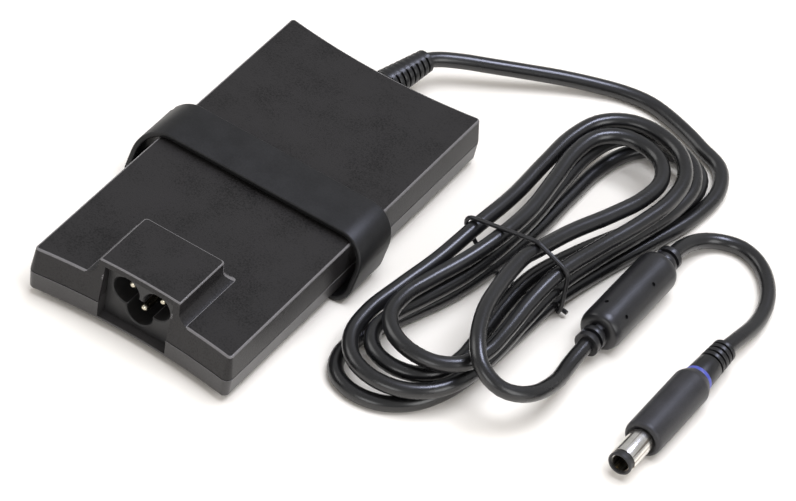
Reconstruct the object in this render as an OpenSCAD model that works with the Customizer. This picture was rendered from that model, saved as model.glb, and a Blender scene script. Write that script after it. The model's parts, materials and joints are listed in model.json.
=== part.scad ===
// Slim laptop power adapter: a two-part case with a three-pin mains inlet, a sliding
// cord strap, its electronics, and an output cord that is put away in a tied hank.
// Millimetres. The origin is under the centre of the case, on the surface it stands on.
// X runs across the case, +Y towards the output cord and +Z up.

/* [Case] */
// Length of the case, inlet end to cord end
case_length = 127; // [115:1:140]
// Width of the case
case_width = 66; // [64:1:80]
// Height of the case from its underside to its top
case_height = 14.6; // [14.4:0.2:20]
// Height of the base from its underside to the seam
base_height = 6.35; // [5.6:0.05:6.8]
// Wall of both shells
wall = 1.8; // [1.4:0.1:2]
// Radius of the upright corners
corner_radius = 2; // [1.2:0.1:4]
// How far the inlet end is dished in
front_dish = 2.4; // [0.5:0.1:3]
// How far the cord end is dished in
rear_dish = 2.5; // [0.5:0.1:4]
// How far the top shell's sides lean in over their height
draft = 0.9; // [0.4:0.1:1.2]
// Rounding of the top shell's upper edge
top_round = 0.5; // [0.3:0.1:1]
// Rounding of the base's lower edge
base_round = 1; // [0.5:0.1:1.5]
// Height of the shadow line at the seam
seam_gap = 0.4; // [0.2:0.05:0.6]
// Depth of the shadow line at the seam
seam_depth = 0.35; // [0.2:0.05:0.6]
// Height of the tongue that stands in the top shell
tongue_height = 1.2; // [0.8:0.1:1.5]
// Clearance between parts that slide or slot together
fit_gap = 0.1; // [0.05:0.01:0.15]

/* [Inlet hump] */
// Height of the hump above the top
hump_height = 6; // [5.6:0.1:8]
// Width of the hump at its top
hump_width = 26.2; // [25:0.1:28]
// Length of the hump at its top, from the inlet end of the case
hump_length = 24.9; // [23:0.1:28]
// How far the hump's foot spreads at each side
hump_flare = 3.2; // [2:0.1:4]
// How far the hump's foot spreads at its back
hump_back_flare = 1.9; // [1:0.1:3]
// Height of the hollow curve at the hump's foot
hump_fillet = 3; // [2:0.1:3.6]

/* [Feet] */
// Radius of a foot
foot_radius = 4.5; // [3:0.1:6]
// How far the feet hold the case up
foot_stand = 2; // [2:0.1:3]
// Depth of the recess that holds a foot
foot_recess = 0.4; // [0.2:0.1:0.6]
// Distance of a foot's centre from the case's side
foot_side = 7; // [6.5:0.1:9]
// Distance of a foot's centre from the case's end
foot_end = 10.5; // [9:0.1:12]

/* [Mains inlet] */
// Width of the opening
inlet_width = 22.2; // [22:0.1:24]
// Height of the opening
inlet_height = 17.4; // [17:0.1:17.6]
// Height of the opening's lower edge above the underside
inlet_sill = 1.3; // [1.1:0.1:1.5]
// How far the inlet's face is set back from the middle of the case's end
inlet_setback = 3.1; // [2.5:0.1:4]
// Length of the inlet block
inlet_length = 14; // [13.5:0.1:15]
// Radius of each of the three lobes
lobe_radius = 4.2; // [3.8:0.1:4.4]
// Depth of the lobes
lobe_depth = 12.5; // [11:0.1:12.5]
// Distance between the line and neutral contacts
contact_pitch = 10; // [9:0.1:10.4]
// Height of the line and neutral contacts above the underside
contact_height = 12.25; // [11.5:0.05:12.6]
// How far the earth contact lies below the other two
earth_drop = 4.9; // [4.5:0.1:5.2]
// Radius of a contact
contact_radius = 1.2; // [1.1:0.05:1.25]
// Radius of a contact's shank through the block
shank_radius = 1; // [0.8:0.05:1.05]
// How far the line and neutral contacts end short of the inlet's face ahead of them
contact_recess = 2.5; // [1.5:0.1:4]
// How much nearer to the face the earth contact ends
earth_lead = 0.8; // [0.5:0.1:1.4]
// Width of the flange at each side of the block
inlet_flange = 1.6; // [1:0.1:1.8]
// Thickness of the flange along the case
flange_thickness = 1.6; // [1:0.1:2]
// Wall of the frame round the block
frame_wall = 2.5; // [2.3:0.1:2.6]
// Radius of a contact's tail through the board
tail_radius = 0.7; // [0.5:0.05:0.8]

/* [Cord strap] */
// Width of the strap along the case
strap_width = 16; // [12:0.5:18]
// Thickness of the strap
strap_thickness = 1.7; // [1.2:0.1:1.7]
// Gap between the strap and the case's top
strap_top_gap = 1; // [0.5:0.1:2]
// Gap between the strap and the case's side
strap_side_gap = 3.3; // [2:0.05:5]
// Place of the strap's top run along the case
strap_place = 3.5; // [-10:0.5:10]
// How much nearer to the inlet the strap's lower run lies
strap_lean = 6.5; // [0:0.5:8]
// How far the strap's lower run hangs to the left
strap_sway = 1.1; // [0:0.1:1.8]
// Bend radius of the strap's lower corners, at mid thickness
strap_low_radius = 4.5; // [3:0.1:6]
// Bend radius of the strap's upper corners, at mid thickness
strap_high_radius = 8.5; // [5:0.1:9]
// Chamfer along the strap's edges
strap_chamfer = 0.4; // [0.2:0.1:0.6]
// Radius of the small hole in the strap's shoulder
strap_hole_radius = 1; // [0.7:0.1:1.5]

/* [Circuit board] */
// Thickness of the board
board_thickness = 1.6; // [1:0.1:1.6]
// Gap between the board's edge and the case's side, outside measure
board_side = 4; // [3.9:0.1:5]
// Gap between the board's edge and the cord end of the case
board_rear = 9.5; // [9:0.1:12]
// Length of the board's arms beside the inlet
board_arms = 13.4; // [10:0.1:13.4]
// Height of the posts under the board
post_height = 1.4; // [1.2:0.1:1.5]
// Radius of a post
post_radius = 2; // [1.6:0.1:2.5]
// Radius of the stub on a post
stub_radius = 1.1; // [0.8:0.1:1.4]
// Thickness of the insulating sheet under the board
sheet_thickness = 0.4; // [0.3:0.1:0.6]
// Thickness of the heat spreader's plate
spreader_thickness = 0.5; // [0.3:0.1:0.8]

/* [Output cord] */
// Diameter of the cord
cord_diameter = 4.6; // [4:0.1:4.7]
// Height of the cord's axis at the case above the underside
exit_height = 7.3; // [6.8:0.1:7.6]
// Length of the ribbed part of the strain relief
relief_length = 17.6; // [14:0.2:20]
// Radius of the strain relief at the case
relief_radius = 4.7; // [4.3:0.1:5]
// Radius of the strain relief at its end
relief_end_radius = 3.5; // [3.1:0.1:4]
// Number of ribs on the strain relief
relief_ribs = 8; // [4:1:10]

/* [Ferrite choke] */
// Radius of the choke's cover
choke_radius = 6.3; // [5.8:0.1:6.8]
// Length of the cover's barrel
choke_length = 34; // [30:0.5:36]
// Length of each grooved neck
choke_neck = 6; // [5:0.1:7]
// Radius of the grooved necks
choke_neck_radius = 3.7; // [3.2:0.1:4]
// Wall of the cover over the core
choke_wall = 1.6; // [1.2:0.1:2]
// Radius of a moulding dimple
dimple_radius = 0.6; // [0.4:0.1:0.8]

/* [Output plug] */
// Radius of the plug's moulded body
plug_radius = 5.6; // [5.2:0.1:6.2]
// Length of the plug's moulded body
plug_length = 29.6; // [26:0.1:32]
// Radius of the contact barrel
barrel_radius = 3.7; // [3.65:0.01:3.75]
// Length of the barrel and its nose
barrel_length = 11.8; // [10:0.1:12.8]
// Radius of the barrel's bore at its mouth
bore_radius = 2.5; // [2.45:0.01:2.55]
// Radius of the centre pin
centre_pin_radius = 0.3; // [0.25:0.01:0.4]
// Width of the light ring
light_ring_width = 0.8; // [0.5:0.1:1.2]
// Radius of the plug at its light ring
light_ring_radius = 4.2; // [3.9:0.1:4.8]
// Length of the plug's ribbed strain relief
plug_relief_length = 14.4; // [13:0.1:16]
// Number of ribs on the plug's strain relief
plug_ribs = 4; // [3:1:5]

/* [Twist tie] */
// Diameter of the tie
tie_diameter = 1.3; // [1:0.1:1.4]

/* [Hidden] */
$fn = 48;
// Overshoot of a cut past the face that it opens
past = 1;

// Levels of the case
underside = foot_stand;
floor_level = underside + wall;
seam_low = underside + base_height;
seam_high = seam_low + seam_gap;
top_level = underside + case_height;
ceiling = top_level - wall;
tongue_top = seam_high + tongue_height;
hump_level = top_level + hump_height;

// Insets of the case's outline: half the lean is spent at half the height, and so on
lean_rate = draft / (top_level - seam_high);
function lean_at(z) = lean_rate * (z - seam_high);
base_lean = 0.35;
tongue_inset = wall / 2 + fit_gap * 2;
cavity_inset = wall + 0.2;
cavity_chamfer = 0.7;
cavity_foot_inset = cavity_inset + cavity_chamfer;

// Levels of what the case holds
board_bottom = floor_level + post_height;
board_top = board_bottom + board_thickness;
part_room = ceiling - spreader_thickness - board_top;
part_level = board_top + 0.05;
part_top = ceiling - spreader_thickness - fit_gap;

// Plan of the case
half_width = case_width / 2;
half_length = case_length / 2;
front_y = -half_length + front_dish;
rear_y = half_length - rear_dish;

// Mains inlet
sill_level = underside + inlet_sill;
inlet_top = sill_level + inlet_height;
face_y = front_y + inlet_setback;
block_half = inlet_width / 2 - fit_gap;
block_back = face_y + inlet_length;
flange_y = face_y + 0.2;
flange_low = sill_level + 1.4;
flange_high = ceiling + 1.1;
frame_half = inlet_width / 2 + frame_wall;
frame_front = front_y + wall * 0.55;
frame_back = face_y + 5;
tongue_front = front_y + tongue_inset + fit_gap;
contact_level = underside + contact_height;
earth_level = contact_level - earth_drop;
tail_y = block_back + 1.8;

// Circuit board
board_half = half_width - board_side;
board_front = tail_y - 1.4;
board_back = half_length - board_rear;
arm_front = board_front - board_arms;
arm_inner = frame_half + 0.8;
post_inset = 4;
post_front = 6;
post_places = [
    for (x = [-1, 1], y = [board_front + post_front, board_back - post_inset])
        [x * (board_half - post_inset), y]
];

// Bulk capacitors, lying in the board's left-hand window
bulk_radius = (part_top - floor_level - sheet_thickness - fit_gap) / 2;
bulk_length = 31;
bulk_level = part_top - bulk_radius;
bulk_window = [2 * (2 * bulk_radius + 0.5) + 0.5, bulk_length + 0.7];
bulk_edge = 1.5;
bulk_front = 22.6;
bulk_place = [-board_half + bulk_edge, board_front + bulk_front];
bulk_pitch = 2 * bulk_radius + 0.5;
output_can_radius = part_room / 2 - 0.15;
output_can_length = 14;
output_can_place = [-board_half + bulk_edge * 2, bulk_place[1] + bulk_window[1] + 4.8];
output_can_pitch = 2 * output_can_radius + 2.3;

// Fuse and film capacitor on the board's arms, and a disc capacitor behind the inlet
fuse_radius = 2.4;
fuse_length = 11;
fuse_cap = 2.6;
fuse_place = [board_half - 7, arm_front + 2];
film_size = [12, 6];
film_place = [-board_half + 1, arm_front + 3];
disc_radius = 3.8;
disc_height = 3.2;
disc_place = [-1, board_front + 15];

// Flat power packages and what else lies on the board: sizes, then places
package_body = [10, 9, 4.4];
package_tab = [10, 6.6, 1.3];
package_hole = [1.8, 3.6];
package_lead = [0.8, 3.4, 0.8];
package_pitch = 2.54;
package_edge = 12;
bridge_size = [15, 10, 3.6];
bridge_edge = 7;
inductor_radius = 5;
inductor_edge = 11;
filter_radius = 7.4;
filter_edge = 12;
filter_front = 4.6;
optocoupler_size = [4.6, 6.6, 3.4];
optocoupler_place = [-4, board_front + bulk_front + 35.8];
chip_size = [4, 5, 1.7];
chip_place = [-3.6, board_front + bulk_front + 7.4];

// Transformer, in the board's right-hand window
core_size = [22, 14, part_top - floor_level - sheet_thickness - fit_gap];
core_plate = 2.6;
core_leg = 3;
core_post = 6;
core_edge = 14;
winding_size = [15.4, 22];
coil_gap = 0.2;
window_gap = 0.6;
core_window = [core_size[0] + window_gap, winding_size[1] + window_gap];

// Row along the board's right-hand side, with even gaps: the bridge rectifier, a power
// package, the transformer, a power package and the output inductor
package_length = package_lead[1] + package_body[1] + package_tab[1];
row = [bridge_size[1], package_length, core_window[1], package_length, 2 * inductor_radius];
function total(v, count) = count == 0 ? 0 : v[count - 1] + total(v, count - 1);
row_gap = (board_back - board_front - total(row, len(row))) / (len(row) + 1);
function row_start(i) = board_front + (i + 1) * row_gap + total(row, i);
core_place = [board_half - core_edge, row_start(2) + core_window[1] / 2];

// Strap
strap_half = half_width + strap_side_gap + strap_thickness / 2;
strap_bottom = strap_thickness / 2;
strap_top = top_level + strap_top_gap + strap_thickness / 2;
strap_arc_steps = 6;
strap_hole_turn = 33;
strap_hole_shift = 5.5;

// Cord: round numbers along its free stretches, each point at the cord's middle
cord_radius = cord_diameter / 2;
cord_sides = 10;
relief_turn = 10;
exit_level = underside + exit_height;
relief_collar = 2;
collar_y = rear_y + 0.2;
relief_start = [0, collar_y + relief_collar - fit_gap, exit_level];
relief_axis = [sin(relief_turn), cos(relief_turn), 0];
relief_end = relief_start + relief_length * relief_axis;
lead_route = [
    [5.2, 84.2, 8.7], [10.4, 89.1, 7.8], [17.6, 94.3, 6.8], [26, 100.4, 5.6],
    [34.6, 106.4, 4.4], [43.2, 111.6, 3.2], [51.4, 115.2, 2.5], [59.2, 116.4, 2.3],
    [66.6, 115, 2.3]
];
loop_route = [
    [72.2, 13.5, 18.5], [73.4, 4.5, 19.3], [75.2, -4.2, 20], [77.8, -11.4, 20],
    [80.7, -16.9, 19.6], [84.4, -21.2, 18.2], [88.6, -22.6, 16], [92.6, -22, 14],
    [96.2, -19, 12.2], [98.6, -14, 10.3], [99.5, -7, 8.1], [99.3, -0.8, 6.5], [98.5, 6, 6.1]
];
tail_route = [
    [98.3, 66, 5.7], [99.1, 71.4, 4.5], [101.3, 76.4, 3.2], [105.2, 80, 2.4],
    [110.2, 81.4, 2.3], [115.4, 80.2, 2.3], [119.9, 77.2, 2.3], [123.6, 73, 2.3],
    [126.4, 68, 2.3], [128.2, 62, 2.4], [129, 55.2, 3.2], [128.8, 47.4, 4.6]
];

// Hank: loops drawn in at the waist, laid in four layers that wind in and out again
hank_centre = [69, 27];
hank_turn = 5;
hank_turns = 4.25;
hank_rings = 24;
hank_sides = 6;
layer_step = 5.4;
layer_starts = [1, 2.5, 4];
climb_turns = 0.5;
rear_reach = 83.5;
rear_reach_loss = 7.5;
front_reach = 70;
front_reach_loss = 7;
reach_step = 7.3;
waist_half = 14.4;
waist_step = 8.5;
rear_bulge = 22.4;
front_bulge = 19.6;
bulge_gain = 2;
rear_shift = 4;
rear_shift_loss = 3.2;
front_shift = -6.6;
front_shift_gain = 4;
waist_lift = 1.6;
waist_lift_span = 16;

// Choke and plug, on axes that run along Y
choke_place = [98.2, 20.8, choke_radius + 0.1];
choke_back = choke_place[1] + choke_length;
choke_lead = [choke_place[0], choke_place[1] - choke_neck, choke_place[2]];
choke_tail = [choke_place[0], choke_back + choke_neck, choke_place[2]];
core_end = 4;
plug_place = [128.3, -5.5, plug_radius];
plug_back = plug_place[1] + plug_length;
plug_shoulder = 3;
barrel_front = plug_place[1] - barrel_length;
nose_step = 2.2;
plug_end = [plug_place[0], plug_back + light_ring_width + plug_relief_length, plug_place[2]];

// Twist tie, round the hank's waist
tie_gap = 0.2;

// Vectors, and the ring of points round a swept tube
function unit(v) = v / norm(v);
function smooth(t) = let(c = min(max(t, 0), 1)) c * c * (3 - 2 * c);

// Direction of a route at point i: the mean of the runs that meet there
function heading(p, i) =
    i == 0 ? unit(p[1] - p[0])
    : i == len(p) - 1 ? unit(p[i] - p[i - 1])
    : unit(unit(p[i] - p[i - 1]) + unit(p[i + 1] - p[i]));
function level_side(t) = unit(cross(t, [0, 0, 1]));
function ring_at(c, t, radius, sides) =
    let(a = level_side(t), b = cross(t, a))
    [for (k = [0:sides - 1]) c + radius * (cos(360 * k / sides) * a + sin(360 * k / sides) * b)];

// Faces that close a ring of n points, in strips across it, so that a dished ring closes too
function strips(n) = [
    for (i = [0:ceil(n / 2) - 2])
        i + 1 < n - 2 - i ? [i, i + 1, n - 2 - i, n - 1 - i] : [i, i + 1, n - 1 - i]
];
// Solid through rings that have as many points each and run anticlockwise, seen from their end
module loft(rings) {
    n = len(rings[0]);
    m = len(rings);
    sides = [
        for (k = [0:m - 2], i = [0:n - 1])
            let(a = k * n + i, b = k * n + (i + 1) % n)
            each [[a, a + n, b + n], [a, b + n, b]]
    ];
    polyhedron(
        points = [for (ring = rings) each ring],
        faces = concat(
            strips(n), sides,
            [for (f = strips(n)) [for (i = [len(f) - 1:-1:0]) (m - 1) * n + f[i]]]
        )
    );
}

// Round tube along a route; its two ends can be cut square to a given direction
module tube(route, diameter, sides, first = undef, last = undef) {
    e = len(route) - 1;
    loft([
        for (i = [0:e])
            ring_at(
                route[i],
                i == 0 && first != undef ? first : i == e && last != undef ? last : heading(route, i),
                diameter / 2, sides
            )
    ]);
}

// Cylinder along +Y from y0 to y1
module rod(radius, y0, y1, x = 0, z = 0) {
    translate([x, y0, z])
        rotate([-90, 0, 0])
            cylinder(r = radius, h = y1 - y0);
}

// Solid turned from [radius, distance] points round an axis along +Y
module turned(profile) {
    rotate([-90, 0, 0])
        rotate_extrude()
            polygon(profile);
}

module block(low, high) {
    translate(low)
        cube(high - low);
}

// Outline of the case at an inset: straight sides, round corners and dished ends
corner_steps = 4;
end_steps = 10;
function corner_at(inset) = max(corner_radius - inset, 0.5);
function dish_edge(inset) = half_width - inset - corner_at(inset);
function dish_turn(dish, inset) = atan(2 * dish / dish_edge(inset));
function dish_half(dish, inset) = dish_edge(inset) - corner_at(inset) * sin(dish_turn(dish, inset));
function end_y(x, dish, inset) =
    half_length - inset - corner_at(inset) * (1 - cos(dish_turn(dish, inset))) - dish
    + dish * pow(x / dish_half(dish, inset), 2);
function arc_points(centre, radius, from, to, steps) = [
    for (i = [0:steps])
        let(a = from + (to - from) * i / steps)
        centre + radius * [cos(a), sin(a)]
];
function dish_points(dish, inset, way) = [
    for (i = [1:end_steps - 1])
        let(x = dish_half(dish, inset) * way * (1 - 2 * i / end_steps))
        [x, way * end_y(x, dish, inset)]
];
function outline(inset) =
    let(
        r = corner_at(inset),
        cx = dish_edge(inset),
        cy = half_length - inset - r,
        rear = 90 + dish_turn(rear_dish, inset),
        front = 90 + dish_turn(front_dish, inset)
    )
    concat(
        arc_points([cx, cy], r, 0, rear, corner_steps),
        dish_points(rear_dish, inset, 1),
        arc_points([-cx, cy], r, 180 - rear, 180, corner_steps),
        arc_points([-cx, -cy], r, 180, 180 + front, corner_steps),
        dish_points(front_dish, inset, -1),
        arc_points([cx, -cy], r, -front, 0, corner_steps)
    );

// Solid through outlines of the case, each given as [level, inset]
module case_stack(stack) {
    loft([for (s = stack) [for (p = outline(s[1])) [p[0], p[1], s[0]]]]);
}

// Holes that run through both shells
module inlet_opening() {
    block([-inlet_width / 2, -half_length - past, sill_level],
          [inlet_width / 2, block_back + fit_gap, inlet_top]);
}
module flange_slot() {
    reach = block_half + inlet_flange + fit_gap;
    block([-reach, flange_y - fit_gap, flange_low - fit_gap],
          [reach, flange_y + flange_thickness + fit_gap, flange_high + fit_gap]);
}
neck_radius = relief_radius - 0.9;
module cord_exit() {
    rod(neck_radius + fit_gap / 2, rear_y - wall - 2 * past, half_length + past, 0, exit_level);
}

foot_places = [
    for (y = [-1, 1], x = [-1, 1]) [x * (half_width - foot_side), y * (half_length - foot_end)]
];

// Skin of the base: up its outside, over the tongue and down its inside
module base_skin() {
    case_stack([
        [underside, base_lean + base_round],
        [underside + base_round * 0.3, base_lean + base_round * 0.4],
        [underside + base_round, base_lean],
        [seam_low, 0],
        [seam_low, seam_depth],
        [seam_high, seam_depth],
        [seam_high, tongue_inset],
        [tongue_top, tongue_inset],
        [tongue_top, cavity_inset],
        [floor_level + cavity_chamfer, cavity_inset],
        [floor_level, cavity_foot_inset]
    ]);
}
module board_post() {
    cylinder(r = post_radius, h = board_bottom - floor_level + past);
    cylinder(r = stub_radius, h = board_top - floor_level + past + 0.8);
}

// Frame round the inlet block, from within the front wall
module inlet_frame(low, high, front = frame_front) {
    block([-frame_half, front, low], [frame_half, frame_back, high]);
}

module base_shell() {
    color("#3a3a3c")
        difference() {
            union() {
                base_skin();
                inlet_frame(floor_level - wall / 2, seam_low);
                inlet_frame(seam_low - fit_gap, tongue_top, tongue_front);
                for (p = post_places)
                    translate([p[0], p[1], floor_level - past])
                        board_post();
            }
            inlet_opening();
            flange_slot();
            cord_exit();
            for (p = foot_places)
                translate([p[0], p[1], underside - past])
                    cylinder(r = foot_radius + fit_gap, h = foot_recess + past);
        }
}

// Skin of the top: down its inside, under its rim and up its outside
module top_skin() {
    shelf = tongue_top + fit_gap;
    case_stack([
        [ceiling, cavity_foot_inset + lean_at(ceiling)],
        [ceiling - cavity_chamfer, cavity_inset + lean_at(ceiling - cavity_chamfer)],
        [shelf, cavity_inset + lean_at(shelf)],
        [shelf, tongue_inset - fit_gap],
        [seam_high, tongue_inset - fit_gap],
        [seam_high, 0],
        [top_level - top_round, lean_at(top_level - top_round)],
        [top_level - top_round * 0.3, lean_at(top_level) + top_round * 0.3],
        [top_level, lean_at(top_level) + top_round]
    ]);
}

// One level of the hump: its front edge follows the dished end of the case
function hump_ring(z, half, back, inset) =
    let(r = 1)
    concat(
        [
            for (i = [0:end_steps])
                let(x = half * (2 * i / end_steps - 1))
                [x, -end_y(x, front_dish, inset), z]
        ],
        [for (p = arc_points([half - r, back - r], r, 0, 90, corner_steps)) [p[0], p[1], z]],
        [for (p = arc_points([r - half, back - r], r, 90, 180, corner_steps)) [p[0], p[1], z]]
    );
hump_back = -half_length + hump_length;
hump_flank = 0.6;
hump_edge = 0.3;
hump_proud = 0.05;
hump_steps = 5;
hump_sink = 0.06;
// Spread of the hump's foot at a share of the hollow curve's height
function hump_level_at(t) =
    let(spread = pow(1 - t, 2.4), flank = hump_flank * (1 - hump_fillet * t / hump_height))
    [hump_fillet * t, flank + (hump_flare - hump_flank) * spread, hump_back_flare * spread];
module hump_solid() {
    half = hump_width / 2;
    foot_level = hump_level_at(-hump_sink);
    levels = concat(
        [for (i = [0:hump_steps]) hump_level_at((1 + hump_sink) * i / hump_steps - hump_sink)],
        [[hump_height - hump_edge, 0, 0]]
    );
    loft(concat(
        [
            hump_ring(top_level - wall / 2, half + foot_level[1], hump_back + foot_level[2],
                      lean_at(top_level - wall / 2) - hump_proud)
        ],
        [
            for (v = levels)
                hump_ring(top_level + v[0], half + v[1], hump_back + v[2],
                          lean_at(top_level + v[0]) - hump_proud)
        ],
        [
            hump_ring(hump_level, half - hump_edge, hump_back - hump_edge,
                      lean_at(hump_level) - hump_proud + hump_edge)
        ]
    ));
}
// Room in the hump behind the inlet block
module hump_hollow() {
    reach = hump_width / 2 - wall;
    block([-reach, block_back - past, ceiling - past], [reach, hump_back - wall, hump_level - wall]);
}

module top_shell() {
    color("#343436")
        difference() {
            union() {
                top_skin();
                hump_solid();
                inlet_frame(tongue_top + fit_gap, ceiling + wall / 2);
            }
            inlet_opening();
            flange_slot();
            hump_hollow();
            cord_exit();
        }
}

module foot(i) {
    color("#1c1c1d")
        translate([foot_places[i][0], foot_places[i][1], 0])
            cylinder(r = foot_radius, h = foot_stand + foot_recess);
}

// Mains inlet
contact_places = [
    [-contact_pitch / 2, contact_level], [contact_pitch / 2, contact_level], [0, earth_level]
];
module ac_inlet_block() {
    reach = block_half + inlet_flange;
    color("#2b2b2c")
        difference() {
            union() {
                block([-block_half, face_y, sill_level + fit_gap],
                      [block_half, block_back, inlet_top - fit_gap * 2]);
                block([-reach, flange_y, flange_low], [reach, flange_y + flange_thickness, flange_high]);
            }
            for (p = contact_places)
                rod(lobe_radius, face_y - past, face_y + lobe_depth, p[0], p[1]);
            for (p = contact_places)
                rod(shank_radius, face_y, block_back + past, p[0], p[1]);
        }
}
module contact(i) {
    p = contact_places[i];
    tip_y = face_y + contact_recess - (i == 2 ? earth_lead : 0);
    color("#c8bfa8") {
        translate([p[0], tip_y + contact_radius, p[1]])
            sphere(r = contact_radius);
        rod(contact_radius, tip_y + contact_radius, face_y + lobe_depth, p[0], p[1]);
        rod(shank_radius, face_y + lobe_depth - past, tail_y + tail_radius, p[0], p[1]);
        translate([p[0], tail_y, board_bottom - 0.6])
            cylinder(r = tail_radius, h = p[1] - board_bottom + 0.6);
    }
}

// Cord strap: a band round the case that leans towards the inlet and the left at its foot
function strap_corner(centre, radius, from) = [
    for (i = [0:strap_arc_steps])
        let(a = from + 90 * i / strap_arc_steps)
        concat(centre + radius * [cos(a), sin(a)], [cos(a), sin(a)])
];
function mirrored(points) = [for (i = [len(points) - 1:-1:0]) let(p = points[i]) [-p[0], p[1], -p[2], p[3]]];
strap_right = concat(
    strap_corner([strap_half - strap_low_radius, strap_bottom + strap_low_radius], strap_low_radius, -90),
    strap_corner([strap_half - strap_high_radius, strap_top - strap_high_radius], strap_high_radius, 0)
);
strap_line = concat(strap_right, mirrored(strap_right));
function strap_drop(z) = (strap_top - z) / (strap_top - strap_bottom);
function strap_x(z) = -strap_sway * strap_drop(z);
function strap_y(z) = strap_place - strap_lean * strap_drop(z);
function strap_section(p) =
    let(
        t = strap_thickness / 2,
        w = strap_width / 2,
        c = strap_chamfer,
        shape = [
            [w, c - t], [w, t - c], [w - c, t], [c - w, t], [-w, t - c], [-w, c - t], [c - w, -t], [w - c, -t]
        ]
    )
    [
        for (s = shape)
            [strap_x(p[1]) + p[0] + p[2] * s[1], strap_y(p[1]) + s[0], p[1] + p[3] * s[1]]
    ];
module strap_band() {
    sections = [for (p = strap_line) strap_section(p)];
    n = len(sections[0]);
    m = len(sections);
    polyhedron(
        points = [for (s = sections) each s],
        faces = [
            for (k = [0:m - 1], i = [0:n - 1])
                let(
                    a = k * n + i,
                    b = k * n + (i + 1) % n,
                    c = ((k + 1) % m) * n + (i + 1) % n,
                    d = ((k + 1) % m) * n + i
                )
                each [[a, b, c], [a, c, d]]
        ]
    );
}
module strap() {
    centre = [strap_high_radius - strap_half, strap_top - strap_high_radius];
    shift = strap_x(centre[1] + strap_high_radius * sin(strap_hole_turn));
    color("#262628")
        difference() {
            strap_band();
            translate([centre[0] + shift, strap_place + strap_hole_shift, centre[1]])
                rotate([0, strap_hole_turn - 90, 0])
                    cylinder(r = strap_hole_radius, h = strap_high_radius + strap_thickness);
        }
}

// Board and what it carries
module insulating_sheet() {
    reach = half_width - cavity_foot_inset - 0.4;
    color("#b8b39a")
        translate([0, 0, floor_level])
            linear_extrude(sheet_thickness)
                difference() {
                    translate([-reach, arm_front])
                        square([2 * reach, board_back + 2 - arm_front]);
                    translate([-arm_inner, arm_front - past])
                        square([2 * arm_inner, block_back + 0.4 - arm_front + past]);
                    for (p = post_places)
                        translate(p)
                            circle(r = post_radius + fit_gap);
                }
}
module circuit_board() {
    color("#8a6b3c")
        translate([0, 0, board_bottom])
            linear_extrude(board_thickness)
                difference() {
                    translate([-board_half, arm_front])
                        square([2 * board_half, board_back - arm_front]);
                    translate([-arm_inner, arm_front - past])
                        square([2 * arm_inner, board_arms + past]);
                    translate(bulk_place)
                        square(bulk_window);
                    translate([core_place[0] - core_window[0] / 2, core_place[1] - core_window[1] / 2])
                        square(core_window);
                    for (p = post_places)
                        translate(p)
                            circle(r = stub_radius + fit_gap);
                    for (p = contact_places)
                        translate([p[0], tail_y])
                            circle(r = tail_radius + fit_gap);
                }
}
module heat_spreader() {
    reach = board_half + fit_gap + spreader_thickness;
    front = hump_back + hump_back_flare + 1;
    color("#b9bcc0") {
        block([-reach, front, ceiling - spreader_thickness], [reach, board_back, ceiling]);
        for (x = [-reach, reach - spreader_thickness])
            block([x, front, board_bottom], [x + spreader_thickness, board_back, ceiling]);
    }
}

module transformer_core() {
    s = core_size;
    window_height = s[2] - 2 * core_plate;
    window = s[0] / 2 - core_leg - core_post / 2;
    color("#3f4043")
        translate([core_place[0], core_place[1] - s[1] / 2, part_top - s[2]])
            difference() {
                translate([-s[0] / 2, 0, 0])
                    cube(s);
                for (x = [core_post / 2, -core_post / 2 - window])
                    translate([x, -past, core_plate])
                        cube([window, s[1] + 2 * past, window_height]);
            }
}
module transformer_winding() {
    height = core_size[2] - 2 * core_plate - 2 * coil_gap;
    hole = [core_post + 2 * coil_gap, core_size[1] + 2 * coil_gap];
    color("#d8b23a")
        translate([core_place[0], core_place[1], part_top - core_size[2] + core_plate + coil_gap])
            linear_extrude(height)
                difference() {
                    square(winding_size, center = true);
                    square(hole, center = true);
                }
}

// Electrolytic capacitor lying along +Y from the origin, its leads bent down to the board
lead_radius = 0.3;
module can(radius, length, level, lead_pitch) {
    groove = radius * 0.06;
    turned([
        [0, 0], [radius, 0], [radius, 2.4], [radius - groove, 3], [radius, 3.6],
        [radius, length], [0, length]
    ]);
    for (x = [-lead_pitch / 2, lead_pitch / 2]) {
        rod(lead_radius, -1.2 - lead_radius, 0.2, x, 0);
        translate([x, -1.2, part_level - level])
            cylinder(r = lead_radius, h = level - part_level);
    }
}
module bulk_capacitor(i) {
    x = bulk_place[0] + bulk_radius + 0.5 + i * bulk_pitch;
    color("#22324a")
        translate([x, bulk_place[1] + 0.35, bulk_level])
            can(bulk_radius, bulk_length, bulk_level, 5);
}
module output_capacitor(i) {
    level = part_level + output_can_radius;
    x = output_can_place[0] + output_can_radius + i * output_can_pitch;
    color("#22324a")
        translate([x, output_can_place[1], level])
            can(output_can_radius, output_can_length, level, 3.5);
}
module mains_fuse() {
    color("#c9c4b4")
        translate([fuse_place[0], fuse_place[1], part_level + fuse_radius]) {
            rod(fuse_radius - 0.3, 0, fuse_length);
            rod(fuse_radius, 0, fuse_cap);
            rod(fuse_radius, fuse_length - fuse_cap, fuse_length);
        }
}
module x_capacitor() {
    color("#d9a521")
        translate([film_place[0], film_place[1], part_level])
            cube([film_size[0], film_size[1], part_top - part_level - 0.3]);
}
module y_capacitor() {
    color("#3d76b5")
        translate([disc_place[0], disc_place[1], part_level])
            cylinder(r = disc_radius, h = disc_height);
}

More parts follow.
